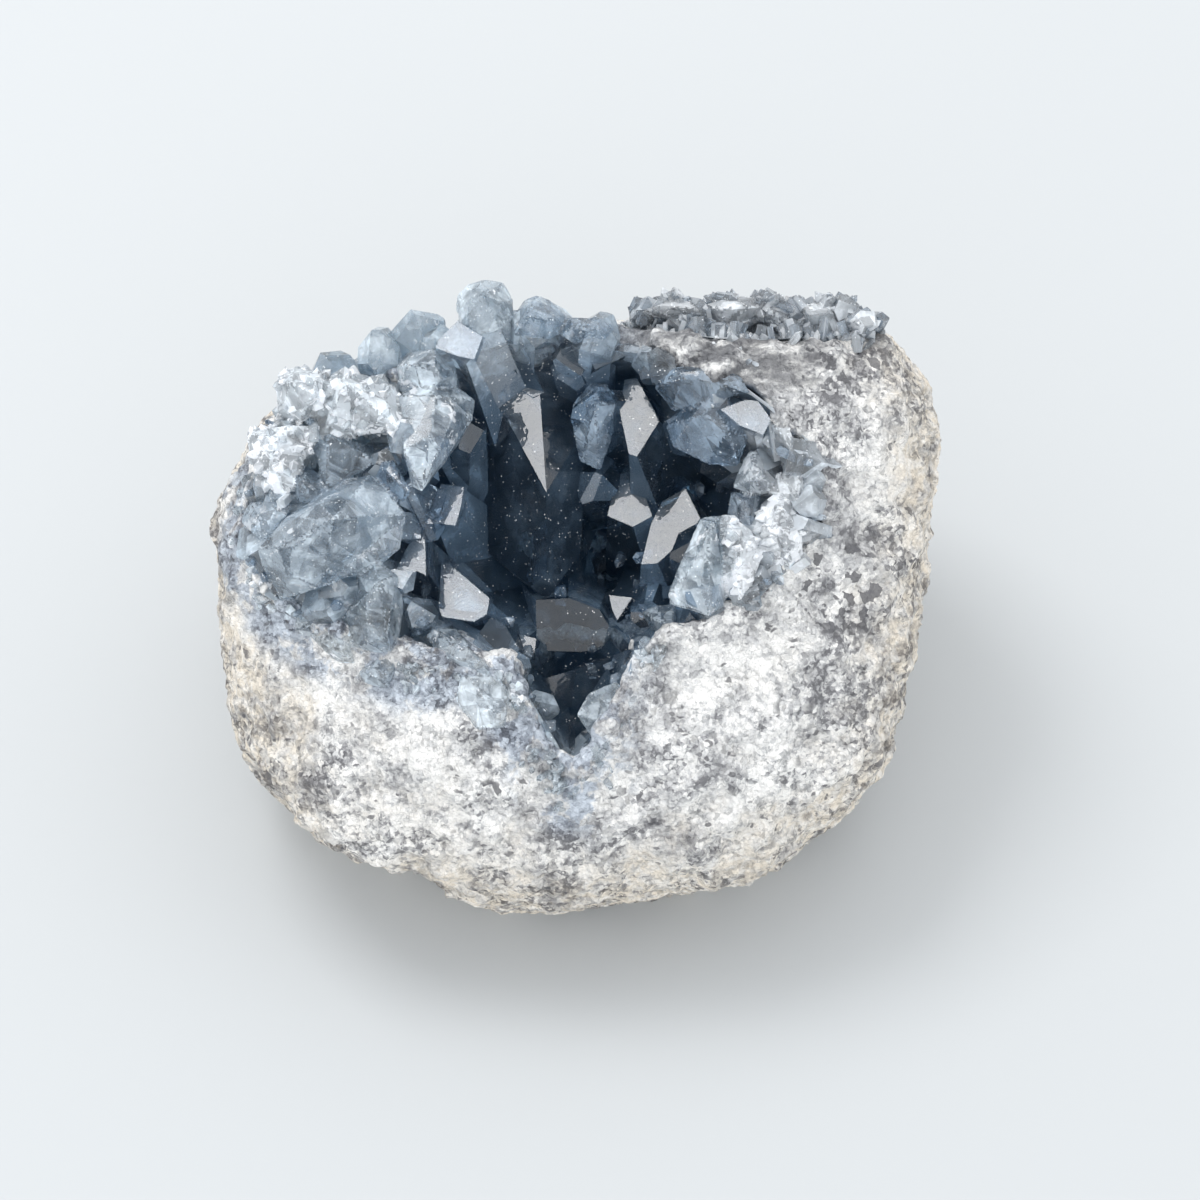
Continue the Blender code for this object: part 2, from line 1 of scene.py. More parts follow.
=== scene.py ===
"""The looks of a celestite crystal cluster: chalky host rock whose broken hollow is lined with crystals.

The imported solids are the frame. Each operator makes pieces over their solids, or the stage. Places in the
hollow are given in the mouth frame, in millimetres: u to the right, v up the hollow's face, w out of it.
"""

import math
import random
from contextlib import contextmanager

import bmesh
import bpy
from mathutils import Matrix, Vector, noise
from mathutils.bvhtree import BVHTree


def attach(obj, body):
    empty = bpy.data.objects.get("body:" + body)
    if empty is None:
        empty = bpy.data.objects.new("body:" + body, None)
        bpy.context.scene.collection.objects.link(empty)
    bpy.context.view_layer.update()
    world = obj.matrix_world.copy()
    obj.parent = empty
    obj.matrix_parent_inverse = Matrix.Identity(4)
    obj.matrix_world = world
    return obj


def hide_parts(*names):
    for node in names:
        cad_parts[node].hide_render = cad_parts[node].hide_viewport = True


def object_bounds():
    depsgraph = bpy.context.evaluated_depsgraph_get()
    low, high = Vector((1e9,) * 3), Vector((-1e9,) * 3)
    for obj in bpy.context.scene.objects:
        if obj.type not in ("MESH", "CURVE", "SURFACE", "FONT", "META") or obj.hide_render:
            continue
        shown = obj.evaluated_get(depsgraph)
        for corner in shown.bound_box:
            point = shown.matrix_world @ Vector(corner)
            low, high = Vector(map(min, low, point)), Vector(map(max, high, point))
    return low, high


bl_info = {
    "name": "Celestite cluster",
    "version": (1, 0, 0),
    "blender": (4, 5, 0),
    "location": "3D View > Sidebar > Celestite",
    "description": "Makes a celestite crystal cluster on a pale studio floor",
    "category": "Object",
}

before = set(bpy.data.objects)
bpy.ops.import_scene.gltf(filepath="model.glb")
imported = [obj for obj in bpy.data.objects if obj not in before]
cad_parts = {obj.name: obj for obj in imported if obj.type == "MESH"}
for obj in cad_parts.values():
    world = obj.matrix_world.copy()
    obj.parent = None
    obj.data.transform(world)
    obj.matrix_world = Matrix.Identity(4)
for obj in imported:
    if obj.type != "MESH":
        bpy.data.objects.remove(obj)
CAD_LOW, CAD_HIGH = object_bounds()

MM = 0.001
MOUTH_LEAN = math.radians(35.0)
MOUTH_MIDDLE = Vector((0.1, -1.6, 38.0))
MOUTH_TO_ROW = Matrix.Scale(MM, 4) @ Matrix.Translation(MOUTH_MIDDLE) @ Matrix.Rotation(MOUTH_LEAN, 4, "X")
ROW_TO_MOUTH = MOUTH_TO_ROW.inverted()
MOUTH_TURN = MOUTH_TO_ROW.to_3x3().normalized()
OUT = Vector((0.0, 0.0, 1.0))  # out of the mouth, in the mouth frame
GLEAM = Vector((-0.20, 0.43, 0.88)).normalized()  # where the flashing facets look
SOFT_LIGHT = Vector((-0.352, 0.757, 0.549))  # from a flashing facet to the light that it mirrors
LIGHT_DISTANCE = 1.2
LIGHT_SIZE = 0.5
FRAMED = Vector((3.9, -1.6, 38.0)) * MM  # the place in the middle of the picture
GREAT_CRYSTAL_BOX = ((-20.5, 1.0), (5.0, 37.0))  # its lowest and highest u and v
GREAT_FACET = ((-8.3, 34.8), (-12.8, 31.3), (-4.9, 17.2), (-5.3, 33.9))  # the kite that flashes, in u and v
GREAT_FACET_LEVEL = 14.3  # w of its middle
SHAFT_TO_LIGHT = 30.0  # how far the way of the light is kept clear
SHAFT_TO_FRONT = 20.0  # how far the view of a flashing facet is kept clear
FROSTED = 1.3  # crystals paler than this are frosted with tiny ones
LEDGE_LEVEL = 38.0  # v where the ledge begins

# Flashing facets of the solids: u and v of their middles, w there and their reach.
FLASHING_CRUST = (
    ((-7.8, 29.8), 14.3, 8.0),
    ((9.0, 30.7), 18.5, 6.5),
    ((15.5, 11.3), 16.3, 7.0),
    ((8.0, 17.2), 12.5, 5.5),
)

# Crystals that stand out of the crust. Each has its outline in u and v, then the points of its ridge in
# u and v with how far they stand over the crust, and then how pale it is.
STANDING = {
    "long broken crystal": (
        ((-50.8, 5.7), (-51.2, 8.2), (-46.7, 13.2), (-41.2, 15.7), (-37.5, 19.3), (-33.0, 20.3),
         (-29.5, 15.7), (-27.2, 13.7), (-28.2, 8.2), (-32.0, 5.2), (-41.2, 1.8), (-47.8, 0.0)),
        ((-45.0, 8.5, 6.0), (-38.5, 13.0, 7.0), (-32.5, 14.0, 3.0)),
        0.7,
    ),
    "upright green crystal": (
        ((-32.8, 6.5), (-31.5, 6.0), (-28.7, 4.0), (-27.8, -1.0), (-29.0, -9.5), (-35.8, -7.7),
         (-37.5, -2.7), (-35.3, 4.0)),
        ((-31.5, 3.0, 4.5), (-30.3, -6.0, 4.5), (-33.5, 1.0, 4.0)),
        0.72,
    ),
    "green tongue": (
        ((-28.7, 33.0), (-25.0, 35.0), (-19.5, 35.0), (-16.5, 32.5), (-16.8, 29.5), (-19.5, 24.8),
         (-24.8, 17.3), (-26.5, 18.2), (-27.8, 24.0)),
        ((-22.5, 33.0, 4.5), (-19.5, 30.5, 4.5), (-25.0, 20.5, 3.0)),
        0.8,
    ),
    "green crown": (
        ((-29.2, 38.0), (-27.5, 40.2), (-23.0, 40.7), (-19.2, 36.5), (-19.5, 33.5), (-25.0, 33.0),
         (-29.0, 34.0)),
        ((-26.0, 38.0, 4.0), (-22.5, 36.5, 4.0)),
        0.8,
    ),
    "white block": (
        ((-39.8, 36.5), (-37.8, 37.7), (-29.5, 34.8), (-27.8, 30.7), (-28.2, 27.3), (-33.7, 28.7),
         (-37.0, 26.2), (-40.3, 28.2)),
        ((-37.0, 34.8, 4.5), (-30.5, 32.0, 4.5), (-36.0, 29.0, 4.0)),
        1.4,
    ),
    "white shoulder": (
        ((-48.7, 35.7), (-46.2, 37.7), (-41.2, 37.3), (-39.8, 35.7), (-41.2, 32.3), (-44.5, 28.2),
         (-48.7, 29.0)),
        ((-46.0, 35.0, 4.0), (-42.5, 33.5, 4.0)),
        1.4,
    ),
    "outer shoulder": (
        ((-53.7, 27.3), (-46.2, 28.2), (-41.2, 28.2), (-43.5, 24.0), (-46.2, 20.7), (-46.5, 16.5),
         (-50.3, 17.3), (-52.8, 22.3)),
        ((-49.5, 26.0, 3.5), (-48.0, 20.0, 3.5)),
        1.45,
    ),
    "dusty grey crystal": (
        ((-43.2, 25.7), (-40.3, 27.0), (-32.8, 24.8), (-32.0, 22.3), (-36.2, 19.8), (-40.3, 17.3)),
        ((-40.0, 24.0, 1.0), (-36.0, 23.0, 1.0)),
        0.45,
    ),
    "grey ball": (
        ((-46.2, 20.7), (-43.7, 21.7), (-41.0, 20.0), (-40.3, 17.3), (-42.0, 15.5), (-45.0, 15.8)),
        ((-44.0, 18.7, 3.0), (-42.5, 18.2, 3.0)),
        0.4,
    ),
    "brown grey crystal": (
        ((-54.2, 13.8), (-52.8, 15.7), (-46.2, 16.5), (-45.8, 14.8), (-47.8, 12.3), (-50.3, 9.0),
         (-54.2, 12.3)),
        ((-51.5, 13.5, 1.5), (-49.0, 14.0, 1.5)),
        0.6,
    ),
    "dark wall crystal": (
        ((-32.8, 19.3), (-31.5, 22.3), (-29.5, 22.8), (-27.8, 19.8), (-26.5, 17.3), (-27.8, 15.7),
         (-30.3, 17.3)),
        ((-30.5, 20.5, 1.5), (-28.5, 18.5, 1.5)),
        0.1,
    ),
    "top knob": (
        ((-19.8, 47.3), (-19.5, 49.8), (-17.8, 51.5), (-15.3, 52.3), (-12.0, 51.8), (-10.3, 49.0),
         (-10.3, 46.0), (-12.8, 43.2), (-16.2, 42.3)),
        ((-16.5, 48.5, 3.0), (-13.5, 48.0, 3.0)),
        0.95,
    ),
    "second knob": (
        ((-9.8, 47.3), (-8.7, 49.0), (-6.7, 49.8), (-4.5, 49.0), (-2.0, 46.5), (-0.8, 44.8), (-4.5, 42.3),
         (-10.3, 43.2)),
        ((-7.5, 47.3, 3.0), (-5.0, 45.5, 3.0)),
        0.38,
    ),
    "third knob": (
        ((-1.2, 46.0), (3.8, 45.7), (6.3, 44.3), (4.7, 42.3), (-0.3, 41.5), (-2.8, 43.2)),
        ((0.5, 44.5, 2.0), (3.5, 44.0, 2.0)),
        0.4,
    ),
    "broad blue crystal": (
        ((14.5, 28.2), (17.5, 31.5), (21.3, 33.2), (24.7, 33.0), (28.0, 26.5), (26.3, 21.5), (21.3, 22.0),
         (15.5, 24.8)),
        ((20.5, 30.0, 4.0), (24.5, 27.5, 4.0)),
        0.16,
    ),
    "upper right crystal": (
        ((12.5, 34.5), (15.5, 37.5), (21.0, 38.3), (26.5, 36.0), (28.0, 33.5), (22.0, 32.5),
         (15.5, 30.5)),
        ((17.0, 35.8, 2.5), (23.5, 35.0, 2.5)),
        0.12,
    ),
    "crystal beside the great one": (
        ((-0.8, 32.0), (2.2, 35.5), (5.0, 35.5), (6.3, 32.0), (5.6, 26.0), (3.8, 21.0), (0.6, 22.5),
         (-0.6, 27.0)),
        ((3.0, 32.0, 1.5), (3.3, 26.5, 1.5)),
        0.25,
    ),
    "corner crystal": (
        ((31.3, 28.2), (34.7, 29.8), (35.5, 27.0), (34.7, 24.0), (32.2, 23.2), (30.0, 25.7)),
        ((32.5, 27.5, 1.5), (33.0, 25.5, 1.5)),
        1.15,
    ),
    "right wall crystal": (
        ((32.2, 20.7), (36.3, 20.7), (36.8, 18.2), (35.5, 15.7), (33.0, 16.2), (30.8, 17.3)),
        ((33.5, 19.5, 1.0), (35.0, 18.0, 1.0)),
        1.05,
    ),
    "small blue crystal": (
        ((28.0, 24.2), (29.2, 24.0), (30.8, 20.7), (31.3, 18.7), (30.2, 17.0), (28.0, 17.3), (25.2, 18.2),
         (26.0, 20.3)),
        ((28.3, 21.5, 3.5), (28.5, 19.5, 3.5)),
        0.8,
    ),
    "under small blue crystal": (
        ((25.0, 17.7), (30.0, 17.0), (29.2, 14.3), (28.2, 11.5), (26.3, 11.8), (24.5, 14.0)),
        ((27.0, 16.0, 1.5), (27.5, 14.0, 1.5)),
        0.3,
    ),
    "right frosted knob": (
        ((31.8, 16.5), (34.3, 16.7), (35.5, 14.8), (36.3, 10.7), (36.7, 7.3), (35.2, 4.7), (32.2, 5.3),
         (30.0, 7.3), (28.3, 11.0), (29.7, 14.3)),
        ((32.5, 14.5, 2.0), (33.0, 9.5, 1.5)),
        1.5,
    ),
    "brown white crystal": (
        ((23.2, 13.7), (24.5, 13.8), (28.3, 11.2), (29.8, 7.0), (28.5, 2.8), (26.3, -0.3), (23.8, 0.7),
         (22.6, 6.0)),
        ((24.8, 11.0, 3.0), (26.3, 6.0, 2.0)),
        1.4,
    ),
    "right upright crystal": (
        ((20.0, 13.2), (23.2, 13.7), (23.0, 7.3), (24.2, -0.5), (21.3, -2.7), (15.0, -0.7), (14.7, 1.0),
         (17.2, 7.3)),
        ((21.3, 10.7, 4.0), (20.0, 2.0, 3.0)),
        1.1,
    ),
    "right step": (
        ((10.5, -1.8), (13.0, -1.0), (16.0, -0.7), (16.3, -3.0), (15.5, -4.7), (12.2, -5.2)),
        ((13.3, -2.0, 2.0), (14.0, -3.5, 2.0)),
        0.8,
    ),
    "lower right step": (
        ((12.2, -5.7), (13.8, -5.2), (15.8, -5.2), (14.2, -9.0), (12.5, -11.8), (11.8, -7.7)),
        ((13.5, -6.5, 1.5), (13.2, -8.5, 1.5)),
        1.1,
    ),
    "notch left crystal": (
        ((-18.5, -11.5), (-13.0, -11.5), (-10.5, -15.0), (-11.5, -20.5), (-16.0, -21.0), (-19.5, -16.0)),
        ((-16.0, -14.0, 1.0), (-13.5, -17.5, 1.0)),
        1.15,
    ),
    "notch right crystal": (
        ((2.0, -15.0), (6.5, -13.0), (8.5, -16.0), (6.0, -21.0), (2.5, -22.5), (0.0, -18.5)),
        ((4.5, -16.0, 1.0), (3.5, -19.5, 1.0)),
        1.1,
    ),
    "left ridge": (
        ((-24.3, -5.7), (-22.8, -4.3), (-19.5, -4.7), (-16.2, -7.7), (-13.2, -10.2), (-13.7, -12.3),
         (-17.8, -11.3), (-22.0, -9.3)),
        ((-20.5, -6.3, 3.0), (-15.5, -9.7, 3.0)),
        0.75,
    ),
    "left step": (
        ((-42.5, -6.3), (-38.7, -4.3), (-36.5, -6.0), (-35.8, -10.2), (-38.7, -10.2), (-41.2, -7.7)),
        ((-40.0, -6.5, 2.0), (-37.5, -8.0, 2.0)),
        0.95,
    ),
    "left foot": (
        ((-35.3, -11.8), (-32.0, -9.3), (-29.5, -8.5), (-29.2, -11.0), (-30.3, -14.3), (-33.8, -13.5)),
        ((-33.0, -11.0, 2.0), (-31.0, -11.5, 2.0)),
        0.7,
    ),
}

# Blocks on the ledge, given in the same way.
LEDGE_BLOCKS = {
    "pale ledge block": (
        ((10.5, 47.0), (13.8, 48.7), (18.0, 49.2), (20.8, 48.5), (20.8, 46.2), (15.8, 46.5),
         (11.3, 46.0)),
        ((14.0, 47.8, 1.5), (19.0, 47.8, 1.5)),
        1.1,
    ),
    "grey ledge block": (
        ((21.0, 48.3), (23.8, 49.2), (27.2, 50.0), (30.0, 49.5), (31.0, 48.2), (29.2, 46.0), (26.3, 44.3),
         (22.5, 44.3)),
        ((24.0, 47.5, 1.8), (28.5, 48.0, 1.8)),
        0.7,
    ),
    "blue ledge block": (
        ((29.2, 46.0), (31.3, 48.5), (34.2, 48.2), (36.7, 46.0), (36.8, 43.3), (34.7, 43.0),
         (31.8, 44.8)),
        ((32.5, 46.8, 1.8), (35.0, 45.0, 1.8)),
        0.4,
    ),
    "far ledge block": (
        ((36.3, 48.0), (39.2, 48.7), (41.8, 48.0), (42.5, 46.0), (38.0, 45.5)),
        ((38.5, 47.3, 1.5), (41.0, 47.0, 1.2)),
        0.9,
    ),
    "last ledge block": (
        ((43.5, 46.0), (46.3, 46.3), (48.0, 44.7), (46.8, 43.7), (44.2, 44.0)),
        ((44.5, 45.5, 1.0), (46.0, 45.0, 1.0)),
        0.7,
    ),
}

# Facets that flash: their outlines in u and v, w of their middles and how deep their crystals go.
FLASHING = (
    (((-22.0, 5.7), (-20.8, 6.0), (-14.0, 0.2), (-14.5, -2.3), (-16.5, -3.5), (-21.7, -2.7),
      (-22.3, -1.0)), 25.0, 10.0),
    (((-25.5, 11.7), (-24.5, 11.2), (-24.2, 4.0), (-27.0, 5.2), (-29.0, 4.8), (-27.5, 8.2)), 27.5, 10.0),
    (((-22.0, 18.7), (-18.2, 18.2), (-18.7, 14.8), (-19.5, 12.0), (-21.7, 12.3), (-24.5, 12.3),
      (-22.8, 14.8)), 27.0, 10.0),
    (((-19.3, 45.2), (-15.2, 42.5), (-16.5, 38.8), (-19.5, 39.5), (-22.8, 40.8),
      (-22.3, 42.2)), 25.5, 4.0),
    (((23.2, 30.7), (27.2, 32.2), (29.2, 32.0), (31.2, 29.0), (30.0, 26.5), (26.3, 28.0)), 30.5, 10.0),
)


# Shader building


class Value:
    """A socket in a shader that gives a number. The operators on it add Math nodes."""

    def __init__(self, tree, socket):
        self.tree = tree
        self.socket = socket

    def maths(self, operation, *others, swap=False):
        inputs = [self, *others]
        if swap:
            inputs.reverse()
        return self.tree.node("Math", {"operation": operation}, dict(enumerate(inputs)))

    def __add__(self, other):
        return self.maths("ADD", other)

    def __sub__(self, other):
        return self.maths("SUBTRACT", other)

    def __rsub__(self, other):
        return self.maths("SUBTRACT", other, swap=True)

    def __mul__(self, other):
        return self.maths("MULTIPLY", other)

    def __truediv__(self, other):
        return self.maths("DIVIDE", other)

    def __pow__(self, other):
        return self.maths("POWER", other)

    def at_least(self, other):
        return self.maths("MAXIMUM", other)

    def at_most(self, other):
        return self.maths("MINIMUM", other)


class Tree:
    """The nodes of a material or of the world."""

    def __init__(self, owner):
        self.owner = owner
        owner.use_nodes = True
        self.nodes = owner.node_tree.nodes
        self.links = owner.node_tree.links
        self.nodes.clear()

    def node(self, kind, settings=None, inputs=None, output=0):
        """Adds a node: its settings first, and then the values or links of its sockets.

        Gives the output that is asked for, or a list where output is a list.
        """
        made = self.nodes.new("ShaderNode" + kind)
        for name, setting in (settings or {}).items():
            if name == "stops":
                self.set_stops(made.color_ramp, setting)
            else:
                setattr(made, name, setting)
        for name, value in (inputs or {}).items():
            if isinstance(value, Value):
                self.links.new(value.socket, made.inputs[name])
            else:
                made.inputs[name].default_value = value
        if isinstance(output, list):
            return [Value(self, made.outputs[name]) for name in output]
        return Value(self, made.outputs[output])

    @staticmethod
    def set_stops(ramp, stops):
        while len(ramp.elements) < len(stops):
            ramp.elements.new(1.0)
        for element, (place, colour) in zip(ramp.elements, stops):
            element.position = place
            element.color = (*colour, 1.0)

    def row_place(self):
        return self.node("TexCoord", output="Object")

    def mouth_place(self):
        """The place in the mouth frame, in millimetres."""
        shift = ROW_TO_MOUTH.to_translation()
        turn = (-MOUTH_LEAN, 0, 0)
        inputs = {"Vector": self.row_place(), "Scale": (1 / MM,) * 3, "Rotation": turn, "Location": shift}
        return self.node("Mapping", None, inputs)

    def attribute(self, name):
        return self.node("Attribute", {"attribute_name": name}, output="Fac")

    def part_of(self, vector, axis):
        return self.node("SeparateXYZ", None, {0: vector}, output=axis)

    def vectors(self, operation, *inputs, output="Vector"):
        return self.node("VectorMath", {"operation": operation}, dict(enumerate(inputs)), output)

    def warped(self, place, size, reach):
        """The place, pushed about by noise so that a pattern on it loses its round shapes."""
        inputs = {"Vector": place, "Scale": 1 / size, "Detail": 2.0}
        push = self.node("TexNoise", None, inputs, output="Color")
        push = self.vectors("SUBTRACT", push, (0.5, 0.5, 0.5))
        return self.vectors("MULTIPLY_ADD", push, (2 * reach,) * 3, place)

    def broken(self, place, size):
        """Flat grains of this size, each tilted its own way: their height and a number for each."""
        inputs = {"Vector": place, "Scale": 1 / size}
        colour, middle = self.node("TexVoronoi", None, inputs, output=["Color", "Position"])
        slope = self.vectors("SUBTRACT", colour, (0.5, 0.5, 0.5))
        away = self.vectors("SUBTRACT", place, middle)
        return self.vectors("DOT_PRODUCT", slope, away, output="Value"), self.part_of(colour, "X")

    def grain(self, place, size, detail=3.0, roughness=0.55):
        """Soft noise of this size in millimetres, from 0 to 1 around a half."""
        inputs = {"Vector": place, "Scale": 1 / size, "Detail": detail, "Roughness": roughness}
        return self.node("TexNoise", None, inputs, output="Fac")

    def cells(self, place, size):
        """The distance to the nearest of the points that are strewn this far apart."""
        return self.node("TexVoronoi", None, {"Vector": place, "Scale": 1 / size}, output="Distance")

    def zone(self, u, v, middle, reach):
        """One in a round zone over the mouth, and zero outside it."""
        return self.fade(((u - middle[0]) ** 2 + (v - middle[1]) ** 2) ** 0.5, reach, 0.6 * reach)

    def fade(self, value, start, end, low=0.0, high=1.0):
        """Goes from low to high as value goes from start to end, and stays there outside."""
        settings = {"interpolation_type": "SMOOTHSTEP", "clamp": True}
        inputs = {"Value": value, "From Min": start, "From Max": end, "To Min": low, "To Max": high}
        if start > end:
            inputs.update({"From Min": end, "From Max": start, "To Min": high, "To Max": low})
        return self.node("MapRange", settings, inputs)

    def mix(self, factor, first, second, way="MIX"):
        settings = {"data_type": "RGBA", "blend_type": way, "clamp_factor": True}
        first, second = ((*c, 1.0) if isinstance(c, tuple) and len(c) == 3 else c for c in (first, second))
        return self.node("Mix", settings, {0: factor, 6: first, 7: second}, output=2)

    def between(self, factor, first, second):
        """A number that goes from first to second."""
        settings = {"data_type": "FLOAT", "clamp_factor": True}
        return self.node("Mix", settings, {0: factor, 2: first, 3: second})

    def bump(self, height, depth):
        """A normal from a height that stands for depth millimetres."""
        return self.node("Bump", None, {"Height": height, "Distance": depth * MM, "Strength": 1.0})

    def blend(self, factor, first, second):
        return self.node("MixShader", None, {0: factor, 1: first, 2: second})

    def finish(self, surface, volume=None):
        kind = "World" if self.owner.id_type == "WORLD" else "Material"
        made = self.nodes.new("ShaderNodeOutput" + kind)
        self.links.new(surface.socket, made.inputs["Surface"])
        if volume:
            self.links.new(volume.socket, made.inputs["Volume"])
        return self.owner


# Modelling helpers


def only(obj):
    """Makes obj the one selected and active object."""
    bpy.ops.object.select_all(action="DESELECT")
    obj.select_set(True)
    bpy.context.view_layer.objects.active = obj


@contextmanager
def editing():
    """The whole active mesh, selected in edit mode."""
    bpy.ops.object.mode_set(mode="EDIT")
    bpy.ops.mesh.select_all(action="SELECT")
    yield
    bpy.ops.object.mode_set(mode="OBJECT")


def face_outwards():
    """Turns all faces of the mesh in edit mode outwards."""
    bpy.ops.mesh.select_all(action="SELECT")
    bpy.ops.mesh.normals_make_consistent(inside=False)


def copy_of(node, name):
    """A piece that starts as a copy of a solid, with its loose triangles merged."""
    obj = bpy.data.objects.new(name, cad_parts[node].data.copy())
    bpy.context.scene.collection.objects.link(obj)
    obj.data.materials.clear()
    only(obj)
    with editing():
        bpy.ops.mesh.remove_doubles(threshold=1e-6)
        bpy.ops.mesh.customdata_custom_splitnormals_clear()
    return obj


def apply_modifier(obj, kind, **settings):
    only(obj)
    modifier = obj.modifiers.new(kind.lower(), kind)
    for name, setting in settings.items():
        setattr(modifier, name, setting)
    bpy.ops.object.modifier_apply(modifier=modifier.name)


def triangulate(obj):
    only(obj)
    with editing():
        bpy.ops.mesh.quads_convert_to_tris()


def noise_texture(name, size, basis="BLENDER_ORIGINAL", depth=2, hard=False):
    texture = bpy.data.textures.new(name, "CLOUDS")
    texture.noise_scale = size * MM
    texture.noise_basis = basis
    texture.noise_depth = depth
    texture.noise_type = "HARD_NOISE" if hard else "SOFT_NOISE"
    return texture


def roughen(obj, texture, height, middle=0.5, group=""):
    """Pushes the surface in and out by a texture, over height millimetres."""
    apply_modifier(
        obj,
        "DISPLACE",
        texture=texture,
        texture_coords="LOCAL",
        strength=height * MM,
        mid_level=middle,
        vertex_group=group,
    )


def slice_off(place, outward):
    """Cuts the mesh in edit mode along a plane and closes it again."""
    bpy.ops.mesh.select_all(action="SELECT")
    bpy.ops.mesh.bisect(plane_co=place, plane_no=outward, use_fill=True, clear_outer=True)


def crystal_seed(name, width, thickness, wedge):
    """A crystal one unit long on the origin: a flattened prism that ends in a wedge."""
    bpy.ops.object.select_all(action="DESELECT")
    bpy.ops.mesh.primitive_cube_add(size=1.0, location=(0.0, 0.0, 0.5))
    seed = bpy.context.object
    seed.name = name
    bpy.ops.object.transform_apply()
    with editing():
        bpy.ops.transform.resize(value=(width, thickness, 1.0), center_override=(0.0, 0.0, 0.0))
        for side in (-1.0, 1.0):
            slice_off((0.0, 0.0, 0.97), (side * math.sin(wedge), 0.1 * side, math.cos(wedge)))
            for other in (-1.0, 1.0):
                slice_off((side * 0.38 * width, 0.0, 0.0), (side * 0.79, other * 0.62, 0.0))
                slice_off((0.0, 0.0, 0.99), (side * 0.35, other * 0.75, 0.55))
        face_outwards()
    return seed


def chunk_seed(name, uneven, seed_number):
    """A broken chunk of about one unit across, with few flat faces."""
    bpy.ops.object.select_all(action="DESELECT")
    bpy.ops.mesh.primitive_ico_sphere_add(subdivisions=2, radius=0.5)
    seed = bpy.context.object
    seed.name = name
    with editing():
        bpy.ops.transform.vertex_random(offset=uneven, uniform=1.0, seed=seed_number)
        bpy.ops.mesh.convex_hull()
        bpy.ops.mesh.dissolve_limited(angle_limit=math.radians(14.0))
        face_outwards()
    return seed


def ring_of(name, corners, fill):
    """A ring of edges through the corners, or one face."""
    bpy.ops.object.select_all(action="DESELECT")
    bpy.ops.mesh.primitive_circle_add(vertices=len(corners), fill_type=fill)
    ring = bpy.context.object
    ring.name = name
    for vertex, corner in zip(ring.data.vertices, corners):
        vertex.co = corner
    return ring


def swept(name, corners, sweep, spread=1.0):
    """A closed solid: the outline through the corners, swept along a vector and widened on the way."""
    solid = ring_of(name, corners, "NGON")
    middle = sum(corners, Vector()) / len(corners) + sweep
    with editing():
        bpy.ops.mesh.extrude_region_move(TRANSFORM_OT_translate={"value": sweep})
        bpy.ops.transform.resize(value=(spread, spread, spread), center_override=middle)
        face_outwards()
    return solid


def middle_of(outline):
    return sum((Vector(corner) for corner in outline), Vector((0.0, 0.0))) / len(outline)


def under_standing(u, v):
    """True where a standing crystal or a flashing facet covers this place."""
    for outline in (*(crystal[0] for crystal in STANDING.values()), *(facet[0] for facet in FLASHING)):
        inside = False
        for (first_u, first_v), (next_u, next_v) in zip(outline, (*outline[1:], outline[0])):
            if (first_v > v) != (next_v > v):
                if u < first_u + (v - first_v) * (next_u - first_u) / (next_v - first_v):
                    inside = not inside
        if inside:
            return True
    return False


def hull_of(name, corners):
    """The closed hull of some corners."""
    solid = ring_of(name, corners, "NOTHING")
    with editing():
        bpy.ops.mesh.convex_hull()
        face_outwards()
    return solid


def facet_corners(outline, level):
    """The corners of a facet that looks along GLEAM, with this outline and its middle at this level."""
    middle = sum((Vector((*corner, 0.0)) for corner in outline), Vector()) / len(outline)
    for u, v in outline:
        drop = (GLEAM.x * (u - middle.x) + GLEAM.y * (v - middle.y)) / GLEAM.z
        yield Vector((u, v, level - drop))


def join_to(target, pieces):
    bpy.ops.object.select_all(action="DESELECT")
    for piece in (*pieces, target):
        piece.select_set(True)
    bpy.context.view_layer.objects.active = target
    bpy.ops.object.join()


def stand(place, axis, size, roll):
    """The matrix of a copy that stands at a place along an axis."""
    turn = axis.to_track_quat("Z", "Y").to_matrix().to_4x4()
    sizes = size if isinstance(size, tuple) else (size, size, size)
    return Matrix.Translation(place) @ turn @ Matrix.Rotation(roll, 4, "Z") @ Matrix.Diagonal((*sizes, 1.0))


def grow_copies(name, seeds, places, chance):
    """A new object of copies of the seeds, one at each place, each with its own milk and tone."""
    grown = bmesh.new()
    layers = [grown.faces.layers.float.new(layer) for layer in ("milk", "tone", "root")]
    for place, milk in places:
        start = len(grown.verts), len(grown.faces)
        grown.from_mesh(chance.choice(seeds).data)
        grown.verts.ensure_lookup_table()
        grown.faces.ensure_lookup_table()
        bmesh.ops.transform(grown, matrix=place, verts=grown.verts[start[0] :])
        for face in grown.faces[start[1] :]:
            for layer, value in zip(layers, (milk, chance.random(), 0.0)):
                face[layer] = value
    obj = bpy.data.objects.new(name, bpy.data.meshes.new(name))
    bpy.context.scene.collection.objects.link(obj)
    grown.to_mesh(obj.data)
    grown.free()
    for seed in seeds:
        bpy.data.objects.remove(seed)
    return obj


def surface_points(obj, count, chance):
    """Random places on a mesh of triangles with their normals, even over its area."""
    faces = list(obj.data.polygons)
    for face in chance.choices(faces, [face.area for face in faces], k=count):
        first, second, third = (obj.data.vertices[index].co for index in face.vertices)
        share, other = chance.random(), chance.random()
        if share + other > 1.0:
            share, other = 1.0 - share, 1.0 - other
        yield first + (second - first) * share + (third - first) * other, face.normal.copy()


def wander(chance, reach):
    return Vector(chance.uniform(-reach, reach) for _ in range(3))


def in_box(place, margin):
    return all(low + margin < c < high - margin for c, low, high in zip(place, CAD_LOW, CAD_HIGH))


